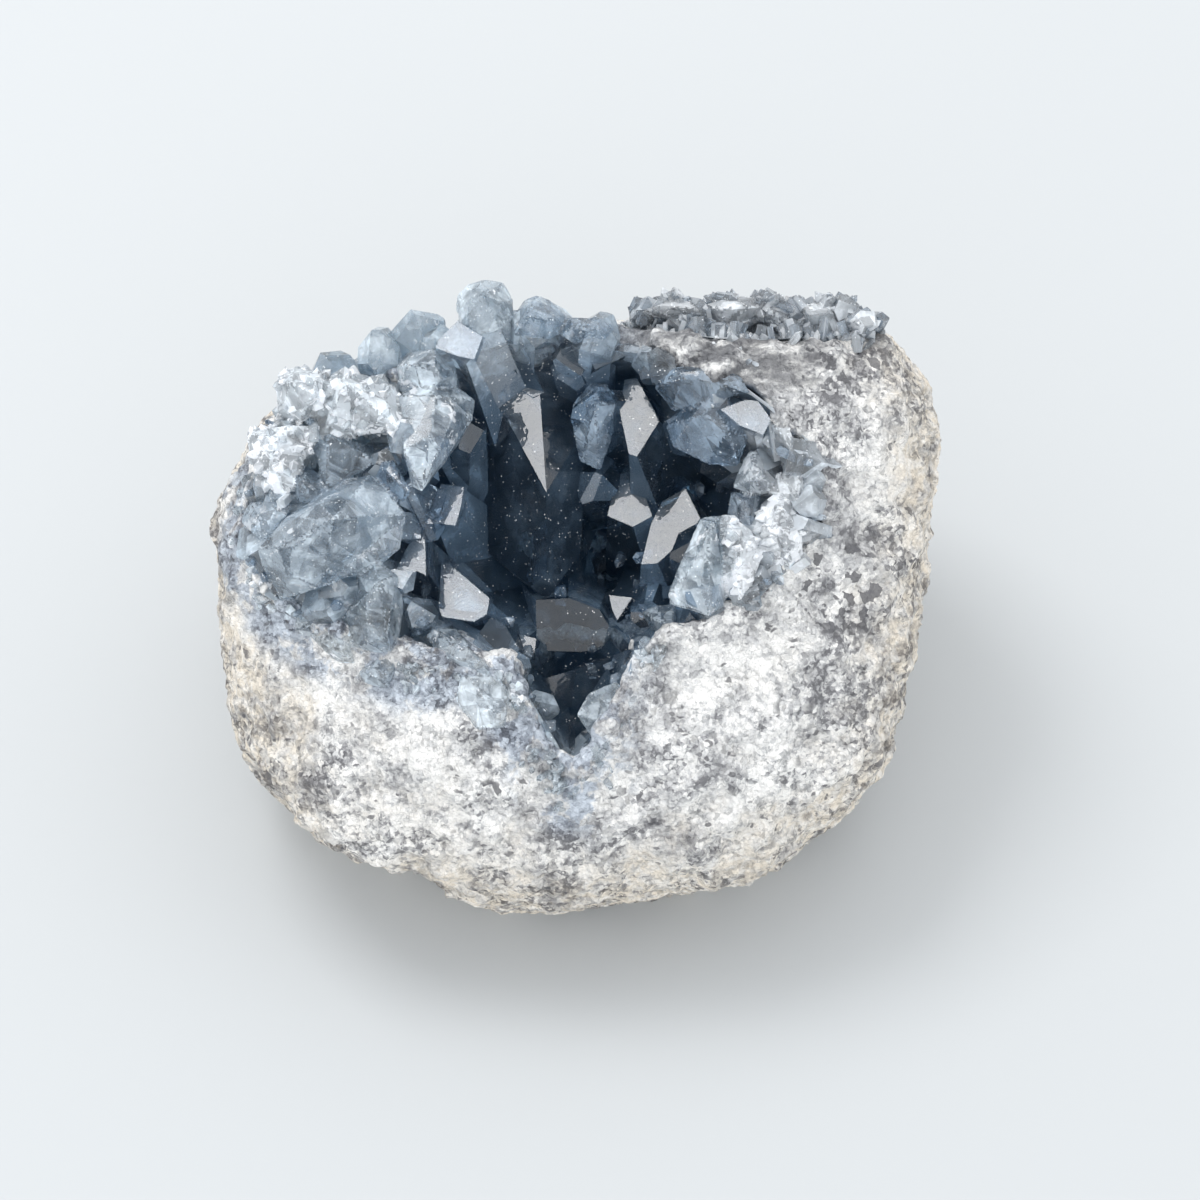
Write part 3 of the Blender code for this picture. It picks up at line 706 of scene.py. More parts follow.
def tree_of(obj):
    """A search tree over a mesh object, in the row frame."""
    corners = [vertex.co.copy() for vertex in obj.data.vertices]
    return BVHTree.FromPolygons(corners, [tuple(face.vertices) for face in obj.data.polygons])


def keep_in_box(obj):
    """Keeps every vertex inside the solids' own box."""
    for vertex in obj.data.vertices:
        vertex.co = Vector(min(max(c, low), high) for c, low, high in zip(vertex.co, CAD_LOW, CAD_HIGH))


def smoothstep(value, start, end):
    share = min(1.0, max(0.0, (value - start) / (end - start)))
    return share * share * (3.0 - 2.0 * share)


# Settings


DARK_WITHIN = math.radians(12.0)  # the surrounding light is darkest this near to the camera
LIGHT_BEYOND = math.radians(55.0)  # and full beyond this
LOW_FRONT = (0.0, -0.97, 0.24)  # where a wide low light stands in front


def colour_of(name, description, colour):
    """A colour that the user can change."""
    return bpy.props.FloatVectorProperty(name=name, description=description, subtype="COLOR", default=colour)


def count_of(name, description, count):
    """A number of things that the user can change."""
    return bpy.props.IntProperty(name=name, description=description, default=count, min=0)


class RockSettings(bpy.types.PropertyGroup):
    grain: bpy.props.FloatProperty(
        name="Grain", description="Size of the rock's finest modelled grain", default=0.8 * MM, unit="LENGTH"
    )
    relief: bpy.props.FloatProperty(
        name="Relief", description="Height of the rock's lumps and pits", default=1.0, min=0.0, max=3.0
    )
    chalk: colour_of("Chalk", "Colour of the sugary white rock", (0.95, 0.94, 0.92))
    mottling: bpy.props.FloatProperty(
        name="Mottling", description="How strongly the rock is mottled", default=2.3, min=0.0, max=5.0
    )
    skin: colour_of("Skin", "Tint of the weathered skin", (0.88, 0.80, 0.69))
    ice: colour_of("Ice", "Tint of the glassy patches", (0.60, 0.68, 0.80))
    ash: colour_of("Ash", "Tint of the grey patches", (0.48, 0.49, 0.51))
    speck: colour_of("Specks", "Colour of the dark specks", (0.10, 0.10, 0.11))


class CrystalSettings(bpy.types.PropertyGroup):
    tint: colour_of("Tint", "Colour that the clear crystal lets through", (0.0, 0.30, 0.48))
    absorption: bpy.props.FloatProperty(
        name="Absorption", description="How fast the crystal darkens, per metre", default=38.0, min=0.0
    )
    bending: bpy.props.FloatProperty(
        name="Bending", description="Index of refraction", default=1.625, min=1.0, max=3.0
    )
    chips: bpy.props.FloatProperty(
        name="Chips", description="Size of the chips along the edges", default=0.45 * MM, unit="LENGTH"
    )
    lining: count_of("Lining", "Small crystals tried in the hollow", 700)
    rim: count_of("Rim", "Tiny crystals tried on the rock", 26000)
    frosting: count_of("Frosting", "Tiny crystals tried on the white crystals", 1500)
    ledge: count_of("Ledge", "Tiny crystals tried on the ledge", 300)
    cloud: colour_of("Cloud", "Colour of the milky crystal", (0.62, 0.695, 0.75))


class StageSettings(bpy.types.PropertyGroup):
    lens: bpy.props.FloatProperty(
        name="Lens", description="Focal length", default=153.0, subtype="DISTANCE_CAMERA"
    )
    distance: bpy.props.FloatProperty(
        name="Distance", description="From the camera to the cluster", default=0.85, unit="LENGTH"
    )
    elevation: bpy.props.FloatProperty(
        name="Elevation",
        description="How far the camera looks down",
        default=math.radians(55.0),
        subtype="ANGLE",
    )
    key: bpy.props.FloatProperty(
        name="Key", description="Strength of the soft light", default=5.0, unit="POWER"
    )
    fill: bpy.props.FloatProperty(name="Fill", description="Strength of the surrounding light", default=1.46)
    shade: bpy.props.FloatProperty(
        name="Shade", description="Share of the surrounding light that is left near the camera", default=0.45
    )
    floor: colour_of("Floor", "Colour of the floor", (0.545, 0.562, 0.572))


# Finishes


def host_rock_finish(settings):
    tree = Tree(bpy.data.materials.new("chalky_host_rock"))
    place = tree.mouth_place()
    u, v, w = (tree.part_of(place, axis) for axis in "XYZ")
    near = tree.attribute("near_crystals")
    # The rock under the crystals, painted dark as shade.
    wall = tree.attribute("hollow_wall")
    ragged = tree.warped(place, 2.4, 1.4)
    torn = tree.warped(place, 0.9, 0.5)

    sugar, shade = tree.broken(torn, 0.7)
    chips, chip = tree.broken(torn, 1.8)
    mottle = tree.grain(ragged, 3.8, detail=5.0, roughness=0.70)
    zones = tree.grain(place, 12.0, detail=3.0)
    dirt = tree.fade(zones - near * 0.06, 0.42, 0.58)
    drift = tree.grain(ragged, 9.0, detail=4.0, roughness=0.6)
    level = (mottle - 0.5) * tree.between(dirt, 0.42, 0.80) * settings.mottling + (drift - 0.5) * 1.35
    level = level + (shade - 0.5) * tree.between(dirt, 0.26, 0.54)
    level = level + (chip - 0.5) * tree.between(dirt, 0.14, 0.38) - near * 0.08 - dirt * 0.09 + 0.455
    colour = tree.node(
        "ValToRGB",
        {
            "stops": (
                (0.0, (0.20, 0.20, 0.21)),
                (0.18, (0.40, 0.40, 0.41)),
                (0.36, (0.66, 0.66, 0.66)),
                (0.52, (0.86, 0.85, 0.83)),
                (0.70, tuple(settings.chalk)),
            )
        },
        {0: level},
    )
    skin = tree.fade(w + zones * 24.0, 40.0, 24.0) * (1.0 - near)
    stain = tree.fade(tree.grain(ragged, 2.2, detail=4.0), 0.38, 0.60)
    colour = tree.mix(skin * tree.between(stain, 0.45, 1.0), colour, tuple(settings.skin), "MULTIPLY")
    icy = tree.fade(near, 0.25, 0.7) * tree.fade(u, 16.0, 2.0)
    glassy = tree.fade(tree.grain(ragged, 6.0, detail=4.0, roughness=0.6), 0.45, 0.54) * icy
    colour = tree.mix(glassy * 0.85, colour, tuple(settings.ice), "MULTIPLY")
    speckled = tree.zone(u, v, (43.0, 2.0), 10.0)
    spots = tree.fade(tree.grain(place, 7.0), 0.45, 0.58)
    patchy = (spots * tree.between(dirt, 0.4, 1.0)).at_least(speckled)
    ash = tree.fade(tree.grain(ragged, 4.6, detail=5.0, roughness=0.75), 0.60, 0.65)
    ash = ash.at_least(tree.fade(chip, 0.74, 0.76) * patchy * 0.8)
    colour = tree.mix(ash * 0.75, colour, tuple(settings.ash), "MULTIPLY")
    band = tree.fade(v, 32.0, 36.0) * tree.fade(u, 0.0, 5.0) * tree.fade(u, 50.0, 34.0)
    band = band * tree.fade(w, 2.0, 10.0)
    drawn_out = tree.vectors("MULTIPLY", torn, (0.35, 1.0, 1.0))
    streaks = tree.fade(tree.grain(drawn_out, 2.6, detail=5.0), 0.70, 0.42)
    colour = tree.mix(band * streaks, colour, (0.27, 0.275, 0.29), "MULTIPLY")
    long_place = tree.vectors("MULTIPLY", ragged, (0.6, 1.0, 1.0))
    flecks = tree.fade(tree.cells(long_place, 1.9), 0.27, 0.17) * spots
    dark_chips = tree.fade(chip + speckled * 0.09, 0.95, 0.96) * patchy
    pepper = tree.fade(shade, 0.90, 0.93) * spots * 0.6
    colour = tree.mix(flecks.at_least(pepper).at_least(dark_chips) * 0.8, colour, tuple(settings.speck))
    # Painted shade: the rock under the crystals is painted near black, in place of the shade that falls
    # there.
    colour = tree.mix(wall, colour, (0.06, 0.08, 0.11))

    crumbs = tree.grain(torn, 1.6, detail=3.0, roughness=0.75)
    relief = tree.bump(crumbs * 0.9 + chips * 0.8 + sugar * 0.8, 1.0)
    surface = tree.node(
        "BsdfPrincipled",
        None,
        {"Base Color": colour, "Roughness": tree.between(glassy, 0.85, 0.35), "Normal": relief, "IOR": 1.5},
    )
    return tree.finish(surface)


def celestite_finish(settings):
    tree = Tree(bpy.data.materials.new("blue_celestite"))
    place = tree.mouth_place()
    root = tree.attribute("root")
    u, v, w = (tree.part_of(place, axis) for axis in "XYZ")
    aside = (u - 2.0).at_least(0.0) / 26.0 + (u - 2.0).at_most(0.0) / 34.0
    above = (v - 14.0).at_least(0.0) / 30.0
    below = (v - 14.0).at_most(0.0) / 30.0
    rim = (aside * aside + above * above + below * below) ** 0.5
    # The notch: its crystals are kept from going pale, and they take the painted shade below.
    notch = tree.fade((u + 0.5).maths("ABSOLUTE"), 14.0, 9.0)
    notch = notch * tree.fade(v, -4.0, -10.0) * tree.fade(w, 24.0, 19.0)
    pale = tree.fade(rim, 0.72, 1.05) * tree.fade(w, 6.0, 18.0) * (1.0 - notch) * 0.55
    back = tree.fade(v - tree.fade(u, -21.0, -17.0) * 5.0, 36.0, 41.0)
    pale = pale.at_least(back * tree.fade(u, -6.0, 6.0, 0.9, 0.5))
    mass = tree.zone(u, v, (-43.0, 28.0), 13.0)
    given = tree.attribute("milk")
    milk = tree.between(tree.fade(given, 0.0, 0.05), pale.at_least(mass), given)
    pale = milk.at_most(1.0)
    right = tree.fade(rim, 0.80, 1.10) * tree.fade(u, 6.0, 16.0)
    white = tree.fade(milk, 1.0, 1.8).at_least(right * pale * 0.4)

    ragged = tree.warped(place, 2.5, 1.6)
    veil = tree.grain(ragged, 6.0, detail=4.0, roughness=0.65)
    cloud = tree.fade(veil, 0.42, 0.75) * tree.between(pale, 0.45, 0.85) + tree.between(pale, 0.25, 0.15)
    cloud = cloud + white * 0.6
    frost = tree.grain(ragged, 4.2, detail=4.0, roughness=0.68) + white * 0.10
    frost = tree.fade(frost, 0.60, 0.66) * pale
    # Painted facet shading: each facet of the crust is lighter or darker by the way it faces, and each small
    # crystal gets a random tone.
    tone = tree.attribute("tone")
    cloud = cloud + (tone - 0.5) * 0.3
    dust = tree.fade(tree.cells(place, 0.6), 0.24, 0.14) * tree.fade(tree.grain(place, 1.6), 0.50, 0.60)
    milky = cloud.at_least(dust).at_least(root).at_least(frost * 0.9)

    stripes = tree.grain(place, 0.8, detail=0.0)
    ripple = tree.bump(stripes, 0.02)
    clear = tree.node(
        "BsdfPrincipled",
        None,
        {
            "Base Color": tree.mix(pale, (0.66, 0.79, 0.93), (0.98, 0.99, 1.0)),
            "Roughness": tree.between(pale, 0.03, 0.20),
            "IOR": settings.bending,
            "Transmission Weight": 1.0,
            "Normal": ripple,
        },
    )
    root_colour = tree.mix(pale, (0.052, 0.083, 0.120), (0.66, 0.74, 0.80))
    cloud_colour = tree.mix(pale, (0.112, 0.168, 0.235), tuple(settings.cloud))
    ledge = tree.fade(v, LEDGE_LEVEL, 44.0) * tree.fade(u, 6.0, 12.0)
    cloud_colour = tree.mix(ledge * 0.9, cloud_colour, (0.29, 0.31, 0.33))
    cloud_colour = tree.mix(right * pale * 0.8, cloud_colour, (0.60, 0.62, 0.635))
    cloud_colour = tree.mix(white, cloud_colour, (0.79, 0.82, 0.86))
    # Painted shade: the milky colour darkens deep in the hollow and in the notch, in place of the shade that
    # falls there.
    hollow_shade = tree.fade(w, 9.0, 1.0).at_least(notch) * (1.0 - pale)
    # The painted facet shading sets how bright the milky colour is.
    strength = tree.between(tone, tree.between(pale, 0.45, 0.70), tree.between(pale, 1.7, 1.12))
    strength = strength * tree.between(hollow_shade, 1.0, 0.4)
    scaled = {0: cloud_colour, "Scale": strength}
    cloud_colour = tree.node("VectorMath", {"operation": "SCALE"}, scaled, "Vector")
    cloud_colour = tree.mix(frost, cloud_colour, (0.82, 0.84, 0.87))
    cloud_colour = tree.mix(dust, cloud_colour, (0.80, 0.83, 0.85))
    cloudy = tree.node(
        "BsdfPrincipled",
        None,
        {
            "Base Color": tree.mix(root, cloud_colour, root_colour),
            "Roughness": tree.between(pale, 0.20, 0.40) + white * 0.25,
            "IOR": settings.bending,
            "Normal": ripple,
        },
    )
    shadow = tree.node("LightPath", output="Is Shadow Ray")
    passing = tree.node("BsdfTransparent", None, {"Color": (0.85, 0.90, 0.95, 1.0)})
    stopped = tree.node("BsdfTransparent", None, {"Color": (0.0, 0.0, 0.0, 1.0)})
    stops = (tree.between(pale, 0.45, 0.55) + white * 0.4).at_least(root)
    surface = tree.blend(shadow, tree.blend(milky, clear, cloudy), tree.blend(stops, passing, stopped))
    tinted = {"Color": (*settings.tint, 1.0), "Density": settings.absorption}
    inside = tree.node("VolumeAbsorption", None, tinted)
    return tree.finish(surface, inside)


# Pieces


def mark(obj, name, values, part="POINT"):
    """Keeps a number for each vertex or face under a name that the finish reads."""
    attribute = obj.data.attributes.new(name, "FLOAT", part)
    attribute.data.foreach_set("value", values)


def flash_spots():
    """The middle and the reach of each flashing facet."""
    spots = [(Vector((*middle, level)), radius) for middle, level, radius in FLASHING_CRUST]
    for outline, level, depth in FLASHING:
        middle = middle_of(outline)
        spots.append((Vector((*middle, level)), max((Vector(corner) - middle).length for corner in outline)))
    return spots


def hides_flash(place, reach):
    """True where a crystal of this reach would stand over a flashing facet or in the way of its light."""
    for middle, radius in FLASH_SPOTS:
        away = place - middle
        for way in (SOFT_LIGHT, OUT):
            along = away.dot(way)
            if along > -3.0 and (away - way * max(along, 0.0)).length < 0.8 * radius + reach:
                return True
    return False


FLASH_SPOTS = flash_spots()


class GEODE_OT_host_rock(bpy.types.Operator):
    """The host rock, crumbled at several scales"""

    bl_idname = "geode.host_rock"
    bl_label = "Host rock"

    def execute(self, context):
        settings = context.scene.geode_rock
        rock = copy_of("matrix", "host_rock")
        crystals = tree_of(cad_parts["crystal_crust"])
        chance = random.Random(3)
        beads = self.rim_beads(rock, crystals, chance)
        seeds = [chunk_seed(f"bead_{number}", 0.16, number) for number in range(3)]
        join_to(rock, [grow_copies("rim_beads", seeds, [(bead, 0.0) for bead in beads], chance)])
        apply_modifier(rock, "REMESH", mode="VOXEL", voxel_size=settings.grain)
        apply_modifier(rock, "SMOOTH", factor=0.5, iterations=14)

        group = rock.vertex_groups.new(name="open")
        near, wall = [], []
        for vertex in rock.data.vertices:
            touch = crystals.find_nearest(vertex.co)
            gap = touch[3] / MM
            facing = vertex.normal.dot((touch[0] - vertex.co).normalized())
            # Rock that the crystals cover: painted near black there as shade, and kept out of the
            # roughening.
            shaded_under_crystals = (1.0 - smoothstep(gap, 0.8, 2.0)) * smoothstep(facing, 0.35, 0.7)
            near.append(1.0 - smoothstep(gap, 1.0, 16.0))
            wall.append(shaded_under_crystals)
            level = vertex.co.z / MM
            group.add([vertex.index], (1.0 - shaded_under_crystals) * smoothstep(level, 0.2, 3.0), "REPLACE")
        mark(rock, "near_crystals", near)
        mark(rock, "hollow_wall", wall)

        relief = settings.relief
        roughen(rock, noise_texture("lumps", 9.0, depth=2), 2.8 * relief, 0.6, "open")
        roughen(rock, noise_texture("crumble", 4.5, depth=3), 1.9 * relief, 0.5, "open")
        roughen(rock, noise_texture("breaks", 3.2, depth=1, hard=True), 1.0 * relief, 0.3, "open")
        roughen(rock, noise_texture("pits", 2.4, basis="VORONOI_F2_F1", depth=1), 0.7 * relief, 0.4, "open")
        keep_in_box(rock)
        bpy.ops.object.shade_smooth()
        rock.data.materials.append(host_rock_finish(settings))
        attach(rock, "root")
        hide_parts("matrix")
        return {"FINISHED"}

    @staticmethod
    def rim_beads(rock, crystals, chance):
        """Places of the knobs of rock that cover the edge where the crystals begin."""
        shape = bmesh.new()
        shape.from_mesh(rock.data)
        places = []
        for edge in shape.edges:
            gaps = [crystals.find_nearest(vertex.co)[3] for vertex in edge.verts]
            if max(gaps) > 1.5 * MM or edge.calc_face_angle_signed(0.0) < math.radians(35.0):
                continue
            first, second = (vertex.co.copy() for vertex in edge.verts)
            outward = (edge.link_faces[0].normal + edge.link_faces[1].normal).normalized()
            steps = max(1, round((second - first).length / (1.3 * MM)))
            for step in range(steps):
                place = first.lerp(second, (step + chance.random()) / steps)
                u, v, w = ROW_TO_MOUTH @ place
                bare = smoothstep(v, 24.0, 34.0) * smoothstep(u, 4.0, 12.0)
                size = chance.uniform(2.2, 4.4) + 3.0 * bare
                inward = MOUTH_TURN @ Vector((-u, 14.0 - v, 0.0)).normalized()
                place += wander(chance, 0.8 * MM) + (inward * 1.0 - outward * 0.18 * size) * MM
                sizes = tuple(size * MM * chance.uniform(0.7, 1.3) for _ in range(3))
                if in_box(place, 0.5 * size * MM) and not hides_flash(ROW_TO_MOUTH @ place, 0.5 * size):
                    places.append(stand(place, wander(chance, 1.0), sizes, 0.0))
        shape.free()
        return places


def paleness(place):
    """How pale the crystal is at a place in the mouth frame: 0 deep in the hollow and 1 out on its rim."""
    u, v, w = place
    rim = math.hypot((u - 2.0) / (26.0 if u > 2.0 else 34.0), (v - 14.0) / (26.0 if v > 14.0 else 30.0))
    notch = (1.0 - smoothstep(abs(u + 0.5), 5.0, 11.0)) * (1.0 - smoothstep(v, -10.0, -4.0))
    notch *= 1.0 - smoothstep(w, 14.0, 20.0)
    pale = smoothstep(rim, 0.72, 1.05) * smoothstep(w, 6.0, 18.0) * (1.0 - notch)
    return max(pale, smoothstep(v, 36.0, 41.0))


class GEODE_OT_crystals(bpy.types.Operator):
    """The crystals that line the hollow, and the patch on the ledge behind it"""

    bl_idname = "geode.crystals"
    bl_label = "Crystals"

    def execute(self, context):
        settings = context.scene.geode_crystals
        finish = celestite_finish(settings)
        rock = tree_of(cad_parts["matrix"])
        for node, name, slot, standing, spread in (
            ("crystal_crust", "celestite_lining", "blue_celestite", STANDING, 7.0),
            ("back_crystals", "ledge_celestite", "pale_celestite", LEDGE_BLOCKS, 2.5),
        ):
            chance = random.Random(5)
            crystals = copy_of(node, name)
            own = tree_of(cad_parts[node])
            broken, pales = self.broken_crystals(standing, (own, rock), settings, chance)
            places = [*self.rim_places(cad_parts["matrix"], own, spread, chance, settings)]
            flashing = []
            if node == "back_crystals":
                places += self.frost_places(crystals, settings.ledge, (2.2, 5.4), lambda place: (0.05, 0.7))
            else:
                places += self.frost_places(
                    broken,
                    settings.frosting,
                    (2.6, 5.0),
                    lambda place: (1.1, 1.8) if self.milk_at(pales, place) > FROSTED else None,
                )
                self.clear_the_flashes(crystals)
                places += self.lining_places(crystals, chance, settings)
                flashing = [*self.flashing_crystals()]
            for piece, tree, values in (
                (crystals, None, []),
                (broken, *pales),
                *((piece, None, [0.08]) for piece in flashing),
            ):
                self.mark_faces(piece, rock, tree, values)
            seeds = [
                crystal_seed("stout", 0.62, 0.50, math.radians(40.0)),
                crystal_seed("flat", 0.70, 0.36, math.radians(36.0)),
                crystal_seed("slim", 0.42, 0.34, math.radians(48.0)),
            ]
            small = grow_copies("small_crystals", seeds, places, chance)
            join_to(crystals, [broken, *flashing, small])
            bpy.ops.object.shade_smooth_by_angle(angle=math.radians(12.0))
            crystals.data.materials.append(finish)
            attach(crystals, "root")
            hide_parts(node)
        return {"FINISHED"}

    def broken_crystals(self, standing, walls, settings, chance):
        """The worn crystals that stand out of the crust, with a search tree that tells how pale each is."""
        pieces = [*self.standing_crystals(standing, walls, chance)]
        pales = self.tree_of_pale(pieces)
        broken = pieces.pop()[0]
        join_to(broken, [piece for piece, pale in pieces])
        self.wear(broken, settings)
        return broken, pales

    def clear_the_flashes(self, crystals):
        """Cuts away what would stand between a flashing facet and the light, or hide it from the front."""
        to_light = SOFT_LIGHT * SHAFT_TO_LIGHT
        self.cut_shaft(crystals, GREAT_FACET, GREAT_FACET_LEVEL, (to_light,), 1.3)
        for outline, level, depth in FLASHING:
            self.cut_shaft(crystals, outline, level, (to_light, OUT * SHAFT_TO_FRONT), 1.3)

    @staticmethod
    def cut_shaft(obj, outline, level, ways, widening):
        """Cuts a way from a facet to the far end of each of the ways, which widens towards there."""
        corners = [corner + GLEAM * 0.4 for corner in facet_corners(outline, level)]
        middle = sum(corners, Vector()) / len(corners)
        ends = [middle + (corner - middle) * widening + way for way in ways for corner in corners]
        shaft = hull_of("shaft", [MOUTH_TO_ROW @ corner for corner in corners + ends])
        apply_modifier(obj, "BOOLEAN", operation="DIFFERENCE", object=shaft, solver="EXACT")
        bpy.data.objects.remove(shaft)

    def standing_crystals(self, crystals, walls, chance):
        """The crystals that stand out of the crust, each with how pale it is."""
        inwards = MOUTH_TURN @ -OUT

        def level_at(u, v):
            start = MOUTH_TO_ROW @ Vector((u, v, 60.0))
            hits = [wall.ray_cast(start, inwards)[0] for wall in walls]
            return max(((ROW_TO_MOUTH @ hit).z for hit in hits if hit), default=0.0)

        for name, (outline, ridge, pale) in crystals.items():
            middle = middle_of(outline)
            levels = sorted(level_at(*middle.lerp(Vector(corner), 0.8)) for corner in outline)
            level = levels[len(levels) * 3 // 4]
            rise = max(height for u, v, height in ridge)
            corners = []
            for corner in outline:
                ground = max(level_at(*middle.lerp(Vector(corner), 0.9)), level - 3.0)
                corners.append((*corner, ground + rise * chance.uniform(-0.1, 0.3)))
                corners.append((*middle.lerp(Vector(corner), 0.7), level - 5.0))
            tops = [Vector((u, v, max(level_at(u, v), level - 1.5) + height)) for u, v, height in ridge]
            for _ in range(6):
                foot = Vector(corners[2 * chance.randrange(len(outline))])
                step = foot.lerp(chance.choice(tops), chance.uniform(0.35, 0.75))
                corners.append(step + Vector((0.0, 0.0, 0.22 * rise)))
            corners = [MOUTH_TO_ROW @ Vector(corner) for corner in (*corners, *tops)]
            crystal = hull_of(name, corners)
            self.cut_shaft(crystal, GREAT_FACET, GREAT_FACET_LEVEL, (SOFT_LIGHT * SHAFT_TO_LIGHT,), 1.0)
            yield crystal, pale

    @staticmethod
    def flashing_crystals():
        """Crystals with a flat top that flashes."""
        for number, (outline, level, depth) in enumerate(FLASHING):
            corners = [MOUTH_TO_ROW @ corner for corner in facet_corners(outline, level)]
            root = MOUTH_TO_ROW.to_3x3() @ Vector((0.0, 0.0, -depth))
            yield swept(f"flashing_{number}", corners, root, 1.1)

    @staticmethod
    def tree_of_pale(pieces):
        """A search tree over the pale pieces, and how pale each of its faces is."""
        corners, faces, pales = [], [], []
        for piece, pale in pieces:
            start = len(corners)
            corners += [vertex.co.copy() for vertex in piece.data.vertices]
            faces += [[start + index for index in face.vertices] for face in piece.data.polygons]
            pales += [pale] * len(piece.data.polygons)
        return BVHTree.FromPolygons(corners, faces), pales

    def lining_places(self, crystals, chance, settings):
        """Small crystals on the walls of the hollow, clear of the great crystal and the flashing facets."""
        outwards = MOUTH_TURN @ OUT
        gleam = MOUTH_TURN @ GLEAM
        (left, bottom), (right, top) = GREAT_CRYSTAL_BOX
        triangulate(crystals)
        for place, normal in surface_points(crystals, settings.lining, chance):
            u, v, w = ROW_TO_MOUTH @ place
            pale = paleness((u, v, w))
            axis = normal * 0.6 + outwards * 0.6 + wander(chance, 0.4)
            size = chance.uniform(2.2, 4.4) if pale > 0.5 else chance.uniform(2.8, 5.5)
            tip = place + axis.normalized() * size * MM
            if left < u < right and bottom < v < top and w > 2.0:
                continue
            if normal.dot(gleam) > 0.985 or normal.dot(outwards) < -0.2:
                continue
            if v > 36.0 or under_standing(u, v) or hides_flash(ROW_TO_MOUTH @ tip, 0.4 * size):
                continue
            if chance.random() < 0.3 + 0.4 * pale and in_box(tip, 0.3 * MM):
                seat = place - axis.normalized() * 0.4 * size * MM
                yield stand(seat, axis, size * MM, chance.uniform(0, 3.1)), chance.uniform(0.0, 0.5)

    @staticmethod
    def rim_places(rock, crystals, spread, chance, settings):
        """Small crystals in patches on the rock around the hollow. The rock on its right is bare."""
        for place, normal in surface_points(rock, settings.rim, chance):
            touch = crystals.find_nearest(place)
            gap = touch[3] / MM
            towards = (touch[0] - place).normalized()
            u, v, w = ROW_TO_MOUTH @ place
            if (gap < 0.8 and towards.dot(normal) > 0.2) or (under_standing(u, v) and w > 10.0):
                continue
            patch = smoothstep(noise.noise(place * 160.0), -0.15, 0.15)
            bare = smoothstep(u, 8.0, 14.0) if v < LEDGE_LEVEL else 0.0
            reach = spread if u > -30.0 else 0.6 * spread
            if chance.random() < (1.0 - smoothstep(gap, 0.5, reach)) * patch * (1.0 - bare):
                size = chance.uniform(1.4, 2.6) + 1.4 * (1.0 - smoothstep(gap, 0.5, 4.0))
                axis = normal + wander(chance, 0.7)
                seat = place - axis.normalized() * 0.55 * size * MM
                tip = place + axis.normalized() * size * MM
                if in_box(tip, 0.2 * MM) and not hides_flash(ROW_TO_MOUTH @ tip, 0.4 * size):
                    pale = chance.uniform(0.7, 1.4) if v < LEDGE_LEVEL else chance.uniform(0.3, 1.0)
                    yield stand(seat, axis, size * MM, chance.uniform(0, 3.1)), pale

    @staticmethod
    def milk_at(pales, place):
        tree, values = pales
        return values[tree.find_nearest(place)[2]]

    @staticmethod
    def frost_places(solid, count, sizes, pale_at):
        """Tiny crystals all over a solid, wherever pale_at gives how pale they are."""
        chance = random.Random(11)
        triangulate(solid)
        for place, normal in surface_points(solid, count, chance):
            size = chance.uniform(*sizes)
            axis = (normal + wander(chance, 0.5)).normalized()
            tip = place + axis * 0.3 * size * MM
            pales = pale_at(place)
            if pales and in_box(tip, 0.2 * MM) and not hides_flash(ROW_TO_MOUTH @ tip, 0.4 * size):
                seat = place - axis * 0.7 * size * MM
                yield stand(seat, axis, size * MM, chance.uniform(0, 3.1)), chance.uniform(*pales)

    @staticmethod
    def wear(crystals, settings):
        """Makes one skin of the crystals that stand out, with chipped edges and worn faces."""
        sharp = crystals.copy()
        sharp.data = crystals.data.copy()
        bpy.context.scene.collection.objects.link(sharp)
        apply_modifier(crystals, "REMESH", mode="VOXEL", voxel_size=settings.chips)
        apply_modifier(crystals, "SHRINKWRAP", target=sharp, wrap_method="NEAREST_SURFACEPOINT")
        bpy.data.objects.remove(sharp)
        roughen(crystals, noise_texture("wear", 4.0, depth=1), 0.25)
        keep_in_box(crystals)
        apply_modifier(crystals, "DECIMATE", decimate_type="DISSOLVE", angle_limit=math.radians(4.0))

    @staticmethod
    def mark_faces(obj, rock, tree, milks):
        """Marks the faces against the rock, how milky each is, and a painted shade for each facet that is
        set by the way it faces.
        """
        marks = {"root": [], "milk": [], "tone": []}
        for face in obj.data.polygons:
            touch = rock.find_nearest(face.center)
            towards = (touch[0] - face.center).normalized()
            marks["root"].append(1.0 if touch[3] < 0.8 * MM and towards.dot(face.normal) > 0.3 else 0.0)
            found = tree.find_nearest(face.center)[2] if tree else 0
            marks["milk"].append(milks[found] if milks else 0.0)
            # Painted shading: a facet's brightness follows the way it faces, in place of the light that
            # falls on it.
            marks["tone"].append(0.5 + 0.5 * math.sin(face.normal.dot(Vector((23.0, 16.0, 11.0)))))
        for name, values in marks.items():
            mark(obj, name, values, "FACE")


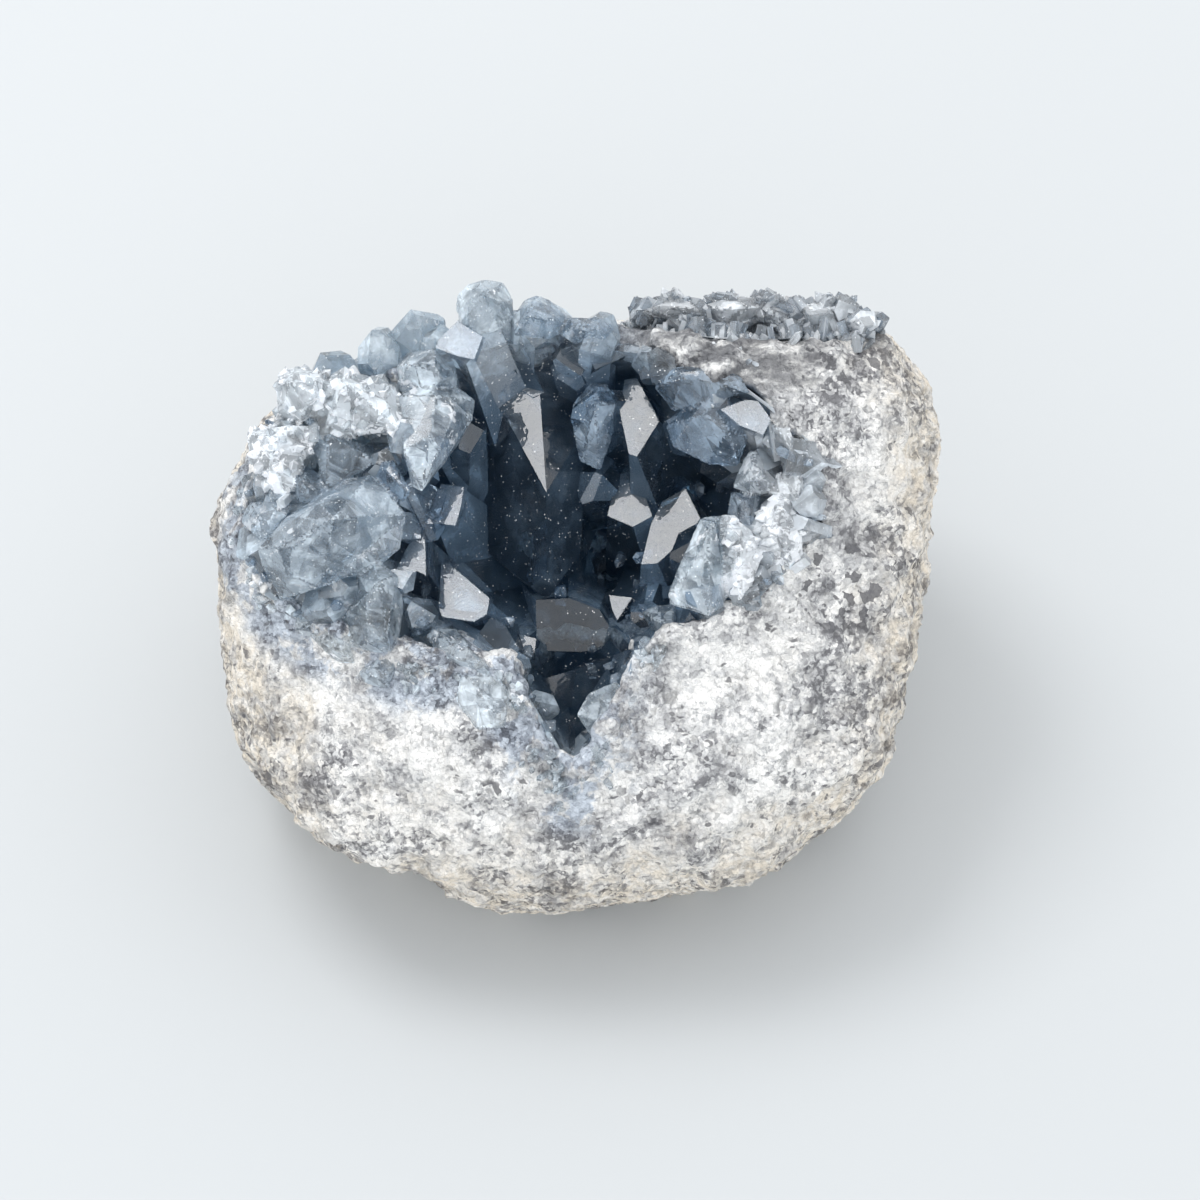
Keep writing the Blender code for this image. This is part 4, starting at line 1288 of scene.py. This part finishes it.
class GEODE_OT_stage(bpy.types.Operator):
    """A pale floor, soft light and the camera"""

    bl_idname = "geode.stage"
    bl_label = "Stage"

    def execute(self, context):
        settings = context.scene.geode_stage
        self.lay_floor(settings)
        self.hang_lights(settings)
        self.place_camera(settings)
        context.scene.view_settings.view_transform = "Standard"
        context.scene.view_settings.look = "None"
        return {"FINISHED"}

    @staticmethod
    def lay_floor(settings):
        bpy.ops.object.select_all(action="DESELECT")
        bpy.ops.mesh.primitive_plane_add(size=8.0, location=(0.0, 0.0, 0.0))
        floor = bpy.context.object
        floor.name = "floor"
        tree = Tree(bpy.data.materials.new("pale_floor"))
        surface = tree.node("BsdfDiffuse", None, {"Color": (*settings.floor, 1.0)})
        floor.data.materials.append(tree.finish(surface))

    @staticmethod
    def hang_lights(settings):
        towards = MOUTH_TURN @ SOFT_LIGHT
        bpy.ops.object.light_add(type="AREA", location=towards * LIGHT_DISTANCE)
        key = bpy.context.object
        key.name = "key_light"
        key.rotation_euler = towards.to_track_quat("Z", "Y").to_euler()
        key.data.shape = "SQUARE"
        key.data.size = LIGHT_SIZE
        key.data.energy = settings.key
        tree = Tree(bpy.data.worlds.new("studio"))
        away = (0.0, -math.cos(settings.elevation), math.sin(settings.elevation))
        way = tree.node("TexCoord", output="Generated")
        facing = tree.vectors("DOT_PRODUCT", way, away, output="Value")
        light = tree.fade(facing, math.cos(DARK_WITHIN), math.cos(LIGHT_BEYOND), settings.shade, 1.0)
        front = tree.vectors("DOT_PRODUCT", way, LOW_FRONT, output="Value")
        light = light + tree.fade(front, 0.55, 0.95) * 0.6
        inputs = {"Color": (0.96, 0.98, 1.0, 1.0), "Strength": light * settings.fill}
        bpy.context.scene.world = tree.finish(tree.node("Background", None, inputs))

    @staticmethod
    def place_camera(settings):
        away = Vector((0.0, -math.cos(settings.elevation), math.sin(settings.elevation)))
        bpy.ops.object.camera_add(location=FRAMED + away * settings.distance)
        camera = bpy.context.object
        camera.name = "camera"
        camera.rotation_euler = away.to_track_quat("Z", "Y").to_euler()
        camera.data.lens = settings.lens
        camera.data.sensor_width = 36.0
        bpy.context.scene.camera = camera


class GEODE_PT_panel(bpy.types.Panel):
    """The operators of the cluster, in the sidebar"""

    bl_idname = "GEODE_PT_panel"
    bl_label = "Celestite cluster"
    bl_space_type = "VIEW_3D"
    bl_region_type = "UI"
    bl_category = "Celestite"

    def draw(self, context):
        for step in STEPS:
            self.layout.operator(step.bl_idname)


STEPS = (GEODE_OT_stage, GEODE_OT_host_rock, GEODE_OT_crystals)
SETTINGS = {"geode_rock": RockSettings, "geode_crystals": CrystalSettings, "geode_stage": StageSettings}


def register():
    for kind in (*SETTINGS.values(), *STEPS, GEODE_PT_panel):
        bpy.utils.register_class(kind)
    for name, kind in SETTINGS.items():
        setattr(bpy.types.Scene, name, bpy.props.PointerProperty(type=kind))


def unregister():
    for name in SETTINGS:
        delattr(bpy.types.Scene, name)
    for kind in (GEODE_PT_panel, *reversed(STEPS), *reversed(SETTINGS.values())):
        bpy.utils.unregister_class(kind)


def main():
    register()
    bpy.ops.geode.stage()
    bpy.ops.geode.host_rock()
    bpy.ops.geode.crystals()


if __name__ == "__main__":
    main()
